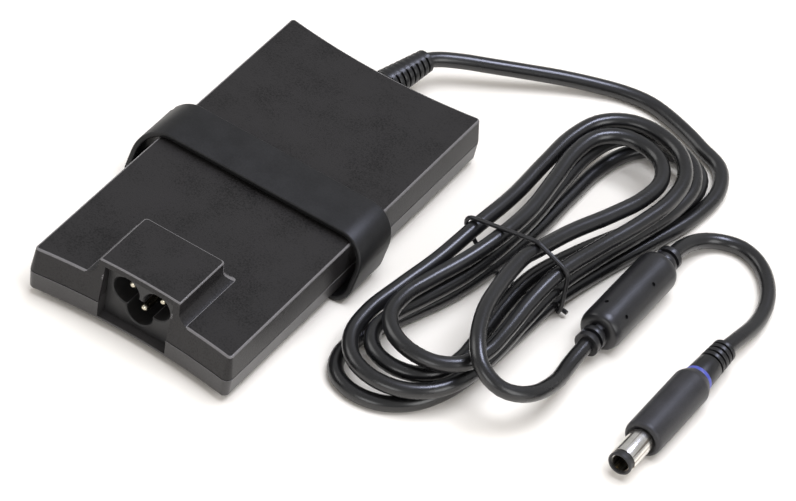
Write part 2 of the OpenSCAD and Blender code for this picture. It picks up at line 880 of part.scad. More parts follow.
// Ring wound with wire, standing on the board round an upright axis
module wound_ring(outer, inner, height) {
    e = 0.8;
    rotate_extrude()
        polygon([
            [inner, e], [inner + e, 0], [outer - e, 0], [outer, e],
            [outer, height - e], [outer - e, height], [inner + e, height], [inner, height - e]
        ]);
}
module line_filter() {
    color("#b5713a")
        translate([-board_half + filter_edge, board_front + filter_front + filter_radius, part_level])
            wound_ring(filter_radius, filter_radius - 4.2, part_top - part_level - 0.3);
}
module bridge_rectifier() {
    color("#232325")
        translate([board_half - bridge_edge - bridge_size[0], row_start(0), part_level])
            cube(bridge_size);
}

// Flat transistor package lying on the board: leads, body and metal tab, one behind another
module power_package() {
    body_y = package_lead[1];
    tab_y = body_y + package_body[1];
    lap = 1;
    translate([-package_body[0] / 2, body_y, 0])
        cube(package_body);
    difference() {
        translate([-package_tab[0] / 2, tab_y - lap, 0])
            cube([package_tab[0], package_tab[1] + lap, package_tab[2]]);
        translate([0, tab_y + package_hole[1], -past])
            cylinder(r = package_hole[0], h = package_tab[2] + 2 * past);
    }
    for (x = [-package_pitch, 0, package_pitch])
        translate([x - package_lead[0] / 2, 0, 0])
            cube([package_lead[0], package_lead[1] + lap, package_lead[2]]);
}
module switching_transistor() {
    color("#1f1f21")
        translate([board_half - package_edge, row_start(1), part_level])
            power_package();
}
module output_rectifier() {
    color("#1f1f21")
        translate([board_half - package_edge, row_start(3), part_level])
            power_package();
}
module optocoupler() {
    color("#e4e2da")
        translate([optocoupler_place[0], optocoupler_place[1], part_level])
            cube(optocoupler_size);
}
module control_chip() {
    color("#1a1a1c")
        translate([chip_place[0], chip_place[1], part_level])
            cube(chip_size);
}
module output_inductor() {
    color("#b5713a")
        translate([board_half - inductor_edge, row_start(4) + inductor_radius, part_level])
            wound_ring(inductor_radius, inductor_radius - 3, part_top - part_level - 0.5);
}
header_size = [8, 6, 6.4];
header_back = 2;
header_y = board_back - header_back - header_size[1];
module cord_header() {
    color("#e8e6dd")
        block([-header_size[0] / 2, header_y, part_level],
              [header_size[0] / 2, header_y + header_size[1], part_level + header_size[2]]);
}
flange_back = rear_y - cavity_foot_inset - lean_at(ceiling) - fit_gap;
relief_flange = 1.4;
module inner_lead() {
    color("#1d1d1f")
        rod(1.6, header_y + header_size[1], flange_back - relief_flange, 0, exit_level);
}

// Ribbed sleeve: [radius, distance] points with ribs over a core that narrow together
function rib_points(count, length, r0, r1, depth) =
    let(pitch = length / count)
    [
        for (i = [0:count - 1])
            let(r = r0 + (r1 - r0) * i / max(count - 1, 1), y = i * pitch, g = pitch * 0.36)
            each [[r - depth, y], [r - depth, y + g], [r, y + g], [r, y + pitch]]
    ];

module strain_relief() {
    ribs = rib_points(relief_ribs, relief_length, relief_radius, relief_end_radius, 0.9);
    flange = exit_height - wall - 0.4;
    color("#232325") {
        translate([0, 0, exit_level])
            turned([
                [0, flange_back - relief_flange], [flange, flange_back - relief_flange],
                [flange, flange_back], [neck_radius, flange_back], [neck_radius, collar_y],
                [relief_radius, collar_y], [relief_radius, collar_y + relief_collar],
                [0, collar_y + relief_collar]
            ]);
        translate(relief_start)
            rotate([0, 0, -relief_turn])
                turned(concat([[0, -0.6], [relief_radius - 0.9, -0.6]], ribs, [[0, relief_length]]));
    }
}

// Free stretches of the cord
cord_colour = "#202022";
module cord_lead() {
    color(cord_colour)
        tube(concat([relief_end], lead_route, [hank_line[0]]), cord_diameter, cord_sides,
             relief_axis, unit(hank_line[1] - hank_line[0]));
}
module cord_loop() {
    e = len(hank_line) - 1;
    color(cord_colour)
        tube(concat([hank_line[e]], loop_route, [choke_lead, choke_tail]), cord_diameter, cord_sides,
             unit(hank_line[e] - hank_line[e - 1]), [0, 1, 0]);
}
module cord_tail() {
    color(cord_colour)
        tube(concat([choke_tail], tail_route, [plug_end]), cord_diameter, cord_sides, [0, 1, 0], [0, -1, 0]);
}

// Hank: distance of a loop from the outermost one, and its layer, after t turns
function loop_depth(t) = t < 1.25 ? t : t < 2.75 ? 2.5 - t : t < 4.25 ? t - 3 : 5.5 - t;
function layer_at(t, k = 0) =
    k == len(layer_starts) ? 0 : smooth((t - layer_starts[k]) / climb_turns) + layer_at(t, k + 1);
function hank_point(t) =
    let(
        c = cos(360 * t),
        s = sin(360 * t),
        depth = loop_depth(t),
        layer = layer_at(t),
        rear = c > 0,
        reach = (rear ? rear_reach - layer * rear_reach_loss : front_reach - layer * front_reach_loss)
            - depth * reach_step,
        bulge = (rear ? rear_bulge : front_bulge) + depth * bulge_gain,
        shift = rear ? rear_shift - layer * rear_shift_loss : front_shift + layer * front_shift_gain,
        u = reach * c,
        v = s * (waist_half - depth * waist_step + bulge * c * c) + shift * c * c
    )
    [
        hank_centre[0] + u * sin(hank_turn) + v * cos(hank_turn),
        hank_centre[1] + u * cos(hank_turn) - v * sin(hank_turn),
        cord_radius + layer_step * layer + waist_lift * exp(-pow(u / waist_lift_span, 2))
    ];
hank_steps = round(hank_turns * hank_rings);
hank_loops = [for (i = [0:hank_steps]) hank_point(i / hank_rings)];
hank_first = unit(hank_loops[1] - hank_loops[0]);
hank_last = unit(hank_loops[hank_steps] - hank_loops[hank_steps - 1]);
hank_line = concat(
    [hank_loops[0] - cord_diameter * [hank_first[0], hank_first[1], 0]],
    hank_loops,
    [hank_loops[hank_steps] + cord_diameter * hank_last]
);
hank_apart = ceil(hank_rings / 3);
hank_gap = min([
    for (i = [0:hank_steps - hank_apart], j = [i + hank_apart:hank_steps])
        norm(hank_loops[i] - hank_loops[j])
]) - cord_diameter;
echo(str("Least gap of the hank to itself: ", hank_gap, " mm"));
module cord_hank() {
    e = len(hank_line) - 1;
    color(cord_colour)
        tube(hank_line, cord_diameter, hank_sides,
             unit(hank_line[1] - hank_line[0]), unit(hank_line[e] - hank_line[e - 1]));
}

// Twist tie: a wire drawn round every strand at the waist, with one free end
tie_radius = tie_diameter / 2;
tie_times = [for (t = [0.25:0.5:hank_turns]) t];
tie_strands = [
    for (t = tie_times)
        [(hank_point(t) - concat(hank_centre, 0)) * [cos(hank_turn), -sin(hank_turn), 0], hank_point(t)[2]]
];
tie_reach = cord_radius + tie_radius + tie_gap;
tie_steps = 40;
tie_from = -36;
tie_pitch = tie_diameter + 0.3;
tie_tail = 2;
// Point of the wire in direction a: beside the strand that lies farthest that way
function tie_point(a) =
    let(
        way = [cos(a), sin(a)],
        far = max([for (s = tie_strands) s * way]),
        centre = [for (s = tie_strands) if (s * way > far - 0.001) s][0]
    )
    centre + tie_reach * way;
function tie_place(p, along) = [
    hank_centre[0] + along * sin(hank_turn) + p[0] * cos(hank_turn),
    hank_centre[1] + along * cos(hank_turn) - p[0] * sin(hank_turn),
    p[1]
];
tie_route = concat(
    [
        for (i = [0:tie_steps])
            tie_place(tie_point(tie_from + 360 * i / tie_steps), tie_pitch * (i / tie_steps - 0.5))
    ],
    [tie_place(tie_point(tie_from) + [tie_tail, 0], tie_pitch / 2)]
);
function flat_ring(c, t, radius, sides) =
    let(a = [sin(hank_turn), cos(hank_turn), 0], b = unit(cross(t, a)))
    [for (k = [0:sides - 1]) c + radius * (cos(360 * k / sides) * a + sin(360 * k / sides) * b)];
module twist_tie() {
    color("#18181a")
        loft([
            for (i = [0:len(tie_route) - 1])
                flat_ring(tie_route[i], heading(tie_route, i), tie_radius, hank_sides)
        ]);
}

// Ferrite choke on the cord
choke_bore = cord_radius + 0.05;
choke_size = choke_length + 2 * choke_neck;
dimple_places = [[6.7, 47], [6.7, -20], [22.2, 39]];
dimple_depth = 0.8;
module choke_cover() {
    r = choke_radius;
    groove = 0.8;
    neck = rib_points(2, choke_neck, choke_neck_radius, choke_neck_radius, groove);
    far_neck = [for (i = [len(neck) - 1:-1:0]) [neck[i][0], choke_size - neck[i][1]]];
    barrel = [
        [r - 1.5, choke_neck], [r - 0.6, choke_neck + 0.5], [r, choke_neck + 1.9],
        [r, choke_size - choke_neck - 1.9], [r - 0.6, choke_size - choke_neck - 0.5],
        [r - 1.5, choke_size - choke_neck]
    ];
    color("#242426")
        translate(choke_lead)
            difference() {
                turned(concat([[choke_bore, 0]], neck, barrel, far_neck, [[choke_bore, choke_size]]));
                difference() {
                    rod(r - choke_wall, choke_neck + core_end, choke_size - choke_neck - core_end);
                    rod(choke_bore + choke_lining, choke_neck, choke_size - choke_neck);
                }
                for (d = dimple_places)
                    translate([0, choke_neck + d[0], 0])
                        rotate([0, d[1], 0])
                            translate([0, 0, r - dimple_depth])
                                cylinder(r = dimple_radius, h = 2 * dimple_depth);
            }
}
choke_lining = 0.6;
core_slack = 0.05;
module ferrite_core() {
    y0 = choke_neck + core_end + core_slack;
    y1 = choke_size - choke_neck - core_end - core_slack;
    color("#4a4643")
        translate(choke_lead)
            difference() {
                rod(choke_radius - choke_wall - core_slack, y0, y1);
                rod(choke_bore + choke_lining + core_slack, y0 - past, y1 + past);
            }
}

// Output plug: sleeves one inside another, each with a little room
sleeve_gap = 0.02;
sleeve_wall = 0.3;
sleeve_step = 0.18;
socket_wall = 0.25;
socket_relief = 0.17;
socket_mouth = 2;
nose_lip = 0.8;
nose_opening = bore_radius + 0.25;
nose_inner = bore_radius + socket_relief + socket_wall + sleeve_gap;
nose_outer = barrel_radius - sleeve_step - sleeve_wall - sleeve_gap;
barrel_depth = 7;
socket_floor = plug_place[1] + 2;
spigot_radius = 2.8;
spigot_length = 2;
led_size = [1.2, 1.4, 0.7];
module at_plug() {
    translate([plug_place[0], 0, plug_place[2]])
        children();
}
module plug_body() {
    r = plug_radius;
    y0 = plug_place[1];
    hole = barrel_radius - sleeve_step + sleeve_gap;
    led_low = spigot_radius + 0.1;
    color("#2c2c2f")
        at_plug()
            difference() {
                turned([
                    [0, y0], [r - 1, y0], [r - 0.3, y0 + 0.3], [r, y0 + 1],
                    [r, plug_back - plug_shoulder],
                    [(r + light_ring_radius) / 2 + 0.15, plug_back - plug_shoulder * 0.55],
                    [light_ring_radius, plug_back], [0, plug_back]
                ]);
                rod(hole, y0 - past, y0 + barrel_depth);
                rod(spigot_radius + sleeve_gap, plug_back - spigot_length - 0.1, plug_back + past);
                block([-led_size[0] / 2 - 0.05, plug_back - led_size[1], led_low],
                      [led_size[0] / 2 + 0.05, plug_back + past, led_low + led_size[2] + 0.1]);
            }
}
module plug_light_ring() {
    color("#6470c8")
        at_plug()
            difference() {
                rod(light_ring_radius + 0.05, plug_back, plug_back + light_ring_width);
                rod(spigot_radius + sleeve_gap, plug_back - past, plug_back + light_ring_width + past);
            }
}
module plug_led() {
    low = spigot_radius + 0.15;
    color("#dfe2ff")
        at_plug()
            block([-led_size[0] / 2, plug_back - led_size[1] + 0.05, low],
                  [led_size[0] / 2, plug_back - 0.05, low + led_size[2]]);
}
module plug_relief() {
    neck_length = 6.4;
    start = plug_back + light_ring_width;
    ribs = rib_points(plug_ribs, plug_relief_length - neck_length, 3.9, 3.6, 0.7);
    color("#28282a")
        at_plug()
            turned(concat(
                [
                    [0, plug_back - spigot_length], [spigot_radius, plug_back - spigot_length],
                    [spigot_radius, start], [light_ring_radius, start],
                    [light_ring_radius - 0.3, start + neck_length]
                ],
                [for (p = ribs) [p[0], p[1] + start + neck_length]],
                [[0, start + plug_relief_length]]
            ));
}
module plug_barrel() {
    seat = plug_place[1];
    color("#c9c9c6")
        at_plug()
            difference() {
                union() {
                    rod(barrel_radius, barrel_front + nose_step, seat);
                    rod(barrel_radius - sleeve_step, barrel_front + nose_step, seat + barrel_depth - 0.1);
                }
                rod(barrel_radius - sleeve_step - sleeve_wall, barrel_front, seat + barrel_depth + past);
            }
}
module plug_nose() {
    front = barrel_front;
    back = plug_place[1] + barrel_depth - 0.1;
    r = barrel_radius - sleeve_step;
    color("#1b1b1c")
        at_plug()
            difference() {
                turned([
                    [0, front], [r - 0.35, front], [r, front + 0.35], [r, front + 0.9], [r - 0.2, front + 1],
                    [r - 0.2, front + nose_step], [nose_outer, front + nose_step], [nose_outer, back], [0, back]
                ]);
                rod(nose_opening, front - past, front + nose_lip);
                rod(nose_inner, front + nose_lip, socket_floor);
                rod(centre_pin_radius + sleeve_gap, socket_floor - past, back + past);
            }
}
module plug_socket() {
    front = barrel_front + nose_lip + sleeve_gap;
    color("#b9b6ae")
        at_plug()
            difference() {
                rod(nose_inner - sleeve_gap, front, socket_floor - sleeve_gap);
                rod(bore_radius, front - past, front + socket_mouth + past);
                rod(bore_radius + socket_relief, front + socket_mouth, socket_floor + past);
            }
}
module plug_pin() {
    tip = barrel_front + nose_lip + socket_mouth + 0.6;
    color("#c8b27a")
        at_plug() {
            rod(centre_pin_radius, tip, plug_place[1] + barrel_depth - 0.3);
            translate([0, tip, 0])
                sphere(r = centre_pin_radius);
        }
}

base_shell();
top_shell();
foot(0);  // foot_front_left
foot(1);  // foot_front_right
foot(2);  // foot_rear_left
foot(3);  // foot_rear_right
ac_inlet_block();
contact(0);  // line_contact
contact(1);  // neutral_contact
contact(2);  // earth_contact
strap();
insulating_sheet();
circuit_board();
heat_spreader();
transformer_core();
transformer_winding();
bulk_capacitor(0);  // bulk_capacitor_a
bulk_capacitor(1);  // bulk_capacitor_b
output_capacitor(0);  // output_capacitor_a
output_capacitor(1);  // output_capacitor_b
mains_fuse();
x_capacitor();
y_capacitor();
line_filter();
bridge_rectifier();
switching_transistor();
output_rectifier();
optocoupler();
control_chip();
output_inductor();
cord_header();
inner_lead();
strain_relief();
cord_lead();
cord_hank();
cord_loop();
cord_tail();
twist_tie();
choke_cover();
ferrite_core();
plug_body();
plug_light_ring();
plug_led();
plug_relief();
plug_barrel();
plug_nose();
plug_socket();
plug_pin();
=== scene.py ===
"""Slim laptop power adapter: the visual model, its finishes, light and camera.

Sizes are in millimetres in the part's own frame: X across the case, +Y towards the
output cord, +Z up, with the origin under the centre of the case. A mesh is turned into
metres when its object is made.
"""

import json
import logging
import math
from dataclasses import dataclass
from enum import Enum
from typing import Iterable, Sequence

import bpy
import numpy as np
from mathutils import Matrix


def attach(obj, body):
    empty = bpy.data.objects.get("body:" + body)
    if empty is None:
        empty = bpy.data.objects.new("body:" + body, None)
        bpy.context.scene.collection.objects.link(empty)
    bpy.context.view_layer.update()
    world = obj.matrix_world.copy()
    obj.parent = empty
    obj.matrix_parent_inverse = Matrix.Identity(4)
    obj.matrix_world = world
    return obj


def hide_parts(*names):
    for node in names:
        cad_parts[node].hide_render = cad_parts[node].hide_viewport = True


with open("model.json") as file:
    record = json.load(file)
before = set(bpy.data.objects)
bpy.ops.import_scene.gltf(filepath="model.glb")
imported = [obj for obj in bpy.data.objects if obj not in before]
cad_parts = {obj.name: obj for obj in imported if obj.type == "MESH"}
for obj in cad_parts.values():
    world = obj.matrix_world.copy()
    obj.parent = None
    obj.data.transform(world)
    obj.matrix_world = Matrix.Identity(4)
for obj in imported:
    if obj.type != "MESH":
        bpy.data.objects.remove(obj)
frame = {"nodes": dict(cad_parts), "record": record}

log = logging.getLogger("power_adapter")
METRES = 0.001
# Name of the face attribute that marks where a highlight is painted along edges.
PAINTED_HIGHLIGHT_MARK = "painted_edge_highlight"
EDGE_WIDTH = 0.2
EDGE_POLISH = -0.12
AXIS_RADIUS = 1e-3
FINE_SIDES = 96
Profile = Sequence[tuple[float, float]]


class Body(Enum):
    """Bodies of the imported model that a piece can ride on."""

    ADAPTER = "adapter"
    STRAP = "strap"


# Meshes


@dataclass
class Shape:
    """Points in millimetres and the faces between them."""

    points: np.ndarray
    faces: list[tuple[int, ...]]

    def moved(self, offset: Sequence[float], turn_deg: float = 0.0) -> "Shape":
        """The shape turned clockwise about Z, seen from above, then moved.

        Args:
            offset: The move, in millimetres.
            turn_deg: The turn from +Y towards +X, in degrees.

        Returns:
            A new shape with the same faces.
        """
        c, s = math.cos(math.radians(turn_deg)), math.sin(math.radians(turn_deg))
        turn = np.array([[c, s, 0.0], [-s, c, 0.0], [0.0, 0.0, 1.0]])
        return Shape(self.points @ turn.T + np.asarray(offset, float), self.faces)

    def tipped(self, turn_deg: float) -> "Shape":
        """The shape turned about Y, from +Z towards +X by an angle in degrees."""
        c, s = math.cos(math.radians(turn_deg)), math.sin(math.radians(turn_deg))
        turn = np.array([[c, 0.0, s], [0.0, 1.0, 0.0], [-s, 0.0, c]])
        return Shape(self.points @ turn.T, self.faces)


def joined(shapes: Iterable[Shape]) -> Shape:
    """One shape that holds several, with their points kept apart."""
    points, faces, start = [], [], 0
    for shape in shapes:
        points.append(shape.points)
        faces += [tuple(i + start for i in face) for face in shape.faces]
        start += len(shape.points)
    return Shape(np.vstack(points), faces)


def loft(rings: Sequence[np.ndarray], closed: bool = False) -> Shape:
    """Skin through rings that have as many points each.

    Point i of ring k, with its next one, and the same two of the next ring make a face.

    Args:
        rings: Rings of points, anticlockwise when seen from the last ring.
        closed: True where the last ring meets the first, and False for two caps.

    Returns:
        A closed shape.
    """
    stack = np.asarray(rings, float)
    m, n = stack.shape[:2]
    row, column = np.meshgrid(np.arange(m if closed else m - 1), np.arange(n), indexing="ij")
    here, ahead, after = row * n, (row + 1) % m * n, (column + 1) % n
    quads = np.stack([here + column, here + after, ahead + after, ahead + column], 2)
    faces = [tuple(quad) for quad in quads.reshape(-1, 4).tolist()]
    if not closed:
        faces.append(tuple(range(n - 1, -1, -1)))
        faces.append(tuple((m - 1) * n + i for i in range(n)))
    return Shape(stack.reshape(-1, 3), faces)


def rounded(profile: Profile, radius: float, steps: int = 3) -> list[tuple[float, float]]:
    """A profile whose inner corners are rounded.

    Args:
        profile: Corners as (radius, distance) or (x, y) pairs; its two ends stay.
        radius: Distance from a corner at which its curve starts.
        steps: Pieces in each curve.

    Returns:
        The new corners.
    """
    out = [tuple(profile[0])]
    for a, b, c in zip(profile, profile[1:], profile[2:]):
        a, b, c = (np.asarray(p, float) for p in (a, b, c))
        before, after = np.linalg.norm(a - b), np.linalg.norm(c - b)
        reach = min(radius, before * 0.45, after * 0.45)
        start, end = b + (a - b) * reach / before, b + (c - b) * reach / after
        for i in range(steps + 1):
            t = i / steps
            point = (1 - t) ** 2 * start + 2 * t * (1 - t) * b + t * t * end
            out.append((float(point[0]), float(point[1])))
    out.append(tuple(profile[-1]))
    return out


def counted(outline: Profile, start: float) -> list[tuple[float, float]]:
    """A (radius, distance) outline with its distances counted from a start."""
    return [(r, start + distance) for r, distance in outline]


def turned(profile: Profile, sides: int = 64, closed: bool = False) -> Shape:
    """Solid turned round the Y axis: x = r cos a, y = distance, z = -r sin a.

    Args:
        profile: Pairs of radius and distance.
        sides: Sides of the round.
        closed: True where the profile goes all round a wall, and its ends meet.

    Returns:
        A closed shape.
    """
    angles = np.linspace(0, 2 * math.pi, sides, endpoint=False)
    radii, distances = np.asarray(profile, float).T[:, :, None]
    radii = np.maximum(radii, AXIS_RADIUS)
    rings = [radii * np.cos(angles), distances + 0 * angles, -radii * np.sin(angles)]
    return loft(np.stack(rings, 2), closed)


def upright(profile: Profile, sides: int = 64) -> Shape:
    """Solid turned from (radius, height) pairs round the Z axis."""
    shape = turned(profile, sides)
    x, y, z = shape.points.T
    return Shape(np.stack([x, -z, y], 1), shape.faces)


def box(low: Sequence[float], high: Sequence[float]) -> Shape:
    """Box between two corners."""
    (x0, y0, z0), (x1, y1, z1) = low, high
    corners = np.array([[x0, y0], [x1, y0], [x1, y1], [x0, y1]], float)
    return loft([np.column_stack([corners, np.full(4, z)]) for z in (z0, z1)])


def curve_through(points: Sequence[Sequence[float]], step: float) -> np.ndarray:
    """Evenly spaced points on a smooth curve through the given ones.

    The curve is a centripetal Catmull-Rom spline: between two points it blends lines
    through the four nearest, at times that grow with the root of their distances.

    Args:
        points: Points in millimetres.
        step: Distance between the new points.

    Returns:
        The new points, ends included.
    """
    p = np.asarray(points, float)
    p = np.vstack([2 * p[0] - p[1], p, 2 * p[-1] - p[-2]])
    fine = []
    for a, b, c, d in zip(p, p[1:], p[2:], p[3:]):
        t1 = max(np.linalg.norm(b - a), 1e-6) ** 0.5
        t2 = t1 + max(np.linalg.norm(c - b), 1e-6) ** 0.5
        t3 = t2 + max(np.linalg.norm(d - c), 1e-6) ** 0.5
        t = np.linspace(t1, t2, 24, endpoint=False)[:, None]
        ab, bc, cd = (
            a + (b - a) * t / t1,
            b + (c - b) * (t - t1) / (t2 - t1),
            c + (d - c) * (t - t2) / (t3 - t2),
        )
        abc = ab + (bc - ab) * t / t2
        bcd = bc + (cd - bc) * (t - t1) / (t3 - t1)
        fine.append(abc + (bcd - abc) * (t - t1) / (t2 - t1))
    fine = np.vstack(fine + [p[-2][None]])
    run = np.concatenate([[0], np.cumsum(np.linalg.norm(np.diff(fine, axis=0), axis=1))])
    at = np.linspace(0, run[-1], max(2, round(run[-1] / step)) + 1)
    return np.stack([np.interp(at, run, fine[:, k]) for k in range(3)], 1)


def tube(route: np.ndarray, radius: float, sides: int) -> Shape:
    """Round tube: centre + radius (cos a side + sin a other), in a frame that doesn't twist."""
    runs = np.diff(route, axis=0)
    runs /= np.linalg.norm(runs, axis=1)[:, None]
    heads = np.vstack([runs[:1], runs[1:] + runs[:-1], runs[-1:]])
    heads /= np.linalg.norm(heads, axis=1)[:, None]
    side = np.cross(heads[0], [0.0, 0.0, 1.0])
    angles = np.linspace(0, 2 * math.pi, sides, endpoint=False)[:, None]
    rings = []
    for centre, head in zip(route, heads):
        side = side - head * side.dot(head)
        side /= np.linalg.norm(side)
        other = np.cross(head, side)
        rings.append(centre + radius * (np.cos(angles) * side + np.sin(angles) * other))
    return loft(rings)


# Finishes


def linear(hex_colour: str) -> tuple[float, float, float, float]:
    """Linear RGBA of an sRGB hex colour such as "#343434"."""
    values = [int(hex_colour[i : i + 2], 16) / 255 for i in (1, 3, 5)]
    r, g, b = (v / 12.92 if v <= 0.04045 else ((v + 0.055) / 1.055) ** 2.4 for v in values)
    return r, g, b, 1.0


class Nodes:
    """A node tree, to which nodes are added with their inputs."""

    def __init__(self, owner: bpy.types.ID) -> None:
        """Empties the node tree of a material or a world."""
        owner.use_nodes = True
        self.tree = owner.node_tree
        self.tree.nodes.clear()

    def add(self, kind: str, inputs: dict | None = None, **props: object) -> bpy.types.Node:
        """Adds a node.

        Args:
            kind: Blender's name of the node, without "ShaderNode".
            inputs: Values or output sockets, by the input's name or number.
            **props: Settings of the node.

        Returns:
            The node.
        """
        node = self.tree.nodes.new("ShaderNode" + kind)
        for key, value in props.items():
            setattr(node, key, value)
        for key, value in (inputs or {}).items():
            if isinstance(value, bpy.types.NodeSocket):
                self.tree.links.new(value, node.inputs[key])
            else:
                node.inputs[key].default_value = value
        return node

    def blend(self, share: bpy.types.NodeSocket, a: object, b: object) -> bpy.types.NodeSocket:
        """Colour between a and b by a share from 0 to 1."""
        return self.add("Mix", {0: share, 6: a, 7: b}, data_type="RGBA").outputs[2]

    def between(
        self,
        value: bpy.types.NodeSocket,
        low: float,
        high: float,
        span: tuple[float, float] = (0.3, 0.7),
    ) -> bpy.types.NodeSocket:
        """A value in span, stretched to low … high and held there."""
        limits = {"From Min": span[0], "From Max": span[1], "To Min": low, "To Max": high}
        return self.add("MapRange", {0: value, **limits}).outputs[0]


@dataclass(frozen=True)
class Finish:
    """A real material's look: colours, grain and gloss, with sizes in millimetres."""

    name: str
    dark: str
    light: str
    roughness: tuple[float, float]
    grain: float = 0.5
    grain_depth: float = 0.02
    patch: float = 12.0
    metallic: float = 0.0
    ior: float = 1.48
    specular: float = 0.5
    # Bevel radius for edge shading; where it is set, marked edge faces also get a painted highlight.
    edge: float = 0.0
    # Colour of the painted edge highlight.
    edge_highlight_colour: str = "#6c6b6e"

    def coords(self, nodes: Nodes) -> bpy.types.NodeSocket:
        """Object coordinates in millimetres."""
        place = nodes.add("TexCoord").outputs["Object"]
        scale = (1 / METRES,) * 3
        return nodes.add("VectorMath", {0: place, 1: scale}, operation="MULTIPLY").outputs[0]

    def height(self, nodes: Nodes, coords: bpy.types.NodeSocket) -> bpy.types.NodeSocket:
        """Height of the grain, from 0 to 1."""
        fine = nodes.add(
            "TexNoise", {"Vector": coords, "Scale": 1 / self.grain, "Detail": 3, "Roughness": 0.6}
        )
        return fine.outputs[0]

    def tint(
        self, nodes: Nodes, coords: bpy.types.NodeSocket, share: bpy.types.NodeSocket
    ) -> bpy.types.NodeSocket:
        """Colour of the surface."""
        return nodes.blend(share, linear(self.dark), linear(self.light))

    def extras(self) -> dict[str, object]:
        """Shader inputs that hold one value all over the surface."""
        return {}

    def material(self) -> bpy.types.Material:
        """The finished material."""
        made = bpy.data.materials.new(self.name)
        nodes = Nodes(made)
        coords = self.coords(nodes)
        patch = nodes.add(
            "TexNoise", {"Vector": coords, "Scale": 1 / self.patch, "Detail": 4, "Roughness": 0.55}
        ).outputs[0]
        grain = self.height(nodes, coords)
        mixed = nodes.add("Math", {0: patch, 1: grain}, operation="ADD").outputs[0]
        share = nodes.between(mixed, 0.0, 1.0, (0.75, 1.25))
        colour = self.tint(nodes, coords, share)
        rough = nodes.between(patch, *self.roughness)
        bump = {"Height": grain, "Distance": self.grain_depth * METRES, "Strength": 1.0}
        # Painted highlight: marked edge faces are lightened to the highlight colour and made less rough.
        if self.edge:
            bevel = nodes.add("Bevel", {"Radius": self.edge * METRES}, samples=4)
            bump["Normal"] = bevel.outputs[0]
            highlight_share = nodes.add("Attribute", attribute_name=PAINTED_HIGHLIGHT_MARK).outputs["Fac"]
            colour = nodes.blend(highlight_share, colour, linear(self.edge_highlight_colour))
            polish = {0: highlight_share, 1: EDGE_POLISH, 2: rough}
            rough = nodes.add("Math", polish, operation="MULTIPLY_ADD").outputs[0]
        shader = nodes.add(
            "BsdfPrincipled",
            {
                "Base Color": colour,
                "Roughness": rough,
                "Normal": nodes.add("Bump", bump).outputs[0],
                "Metallic": self.metallic,
                "IOR": self.ior,
                "Specular IOR Level": self.specular,
                **self.extras(),
            },
        )
        nodes.add("OutputMaterial", {"Surface": shader.outputs[0]})
        return made


@dataclass(frozen=True)
class MouldedTexture(Finish):
    """Plastic from a spark-eroded mould: fine crests with small pits between."""

    def height(self, nodes: Nodes, coords: bpy.types.NodeSocket) -> bpy.types.NodeSocket:
        """Crests of noise with pits of cells under them."""
        crests = super().height(nodes, coords)
        pits = nodes.add("TexVoronoi", {"Vector": coords, "Scale": 0.7 / self.grain}).outputs[0]
        return nodes.add("Math", {0: pits, 1: 0.45, 2: crests}, operation="MULTIPLY_ADD").outputs[0]


@dataclass(frozen=True)
class PlatedTube(Finish):
    """Drawn and plated metal, with faint brownish reflections painted as streaks along Y."""

    painted_reflection: str = "#6d5a48"

    def tint(
        self, nodes: Nodes, coords: bpy.types.NodeSocket, share: bpy.types.NodeSocket
    ) -> bpy.types.NodeSocket:
        """Bright metal with thin brownish streaks of painted reflection."""
        metal = super().tint(nodes, coords, share)
        # Painted reflection: thin brownish streaks along Y.
        lines = nodes.add("VectorMath", {0: coords, 1: (1.0, 0.02, 1.0)}, operation="MULTIPLY").outputs[0]
        noise = nodes.add("TexNoise", {"Vector": lines, "Scale": 0.9, "Detail": 2}).outputs[0]
        return nodes.blend(nodes.between(noise, 0.0, 0.75, (0.56, 0.66)), metal, linear(self.painted_reflection))


@dataclass(frozen=True)
class WoundWire(Finish):
    """Enamelled wire wound side by side."""

    def height(self, nodes: Nodes, coords: bpy.types.NodeSocket) -> bpy.types.NodeSocket:
        """Rounded ridges of wire."""
        wave = nodes.add("TexWave", {"Vector": coords, "Scale": 0.35 / self.grain, "Distortion": 1.5})
        return wave.outputs["Fac"]


@dataclass(frozen=True)
class PaintedGlowPlastic(Finish):
    """Tinted clear plastic with a painted glow: it gives off a little light of its own."""

    painted_glow: float = 0.3

    def extras(self) -> dict[str, object]:
        """A painted glow of its own, and the light that it lets through."""
        return {
            "Emission Color": linear(self.light),
            "Emission Strength": self.painted_glow,
            "Subsurface Weight": 0.3,
            "Subsurface Scale": 0.001,
        }


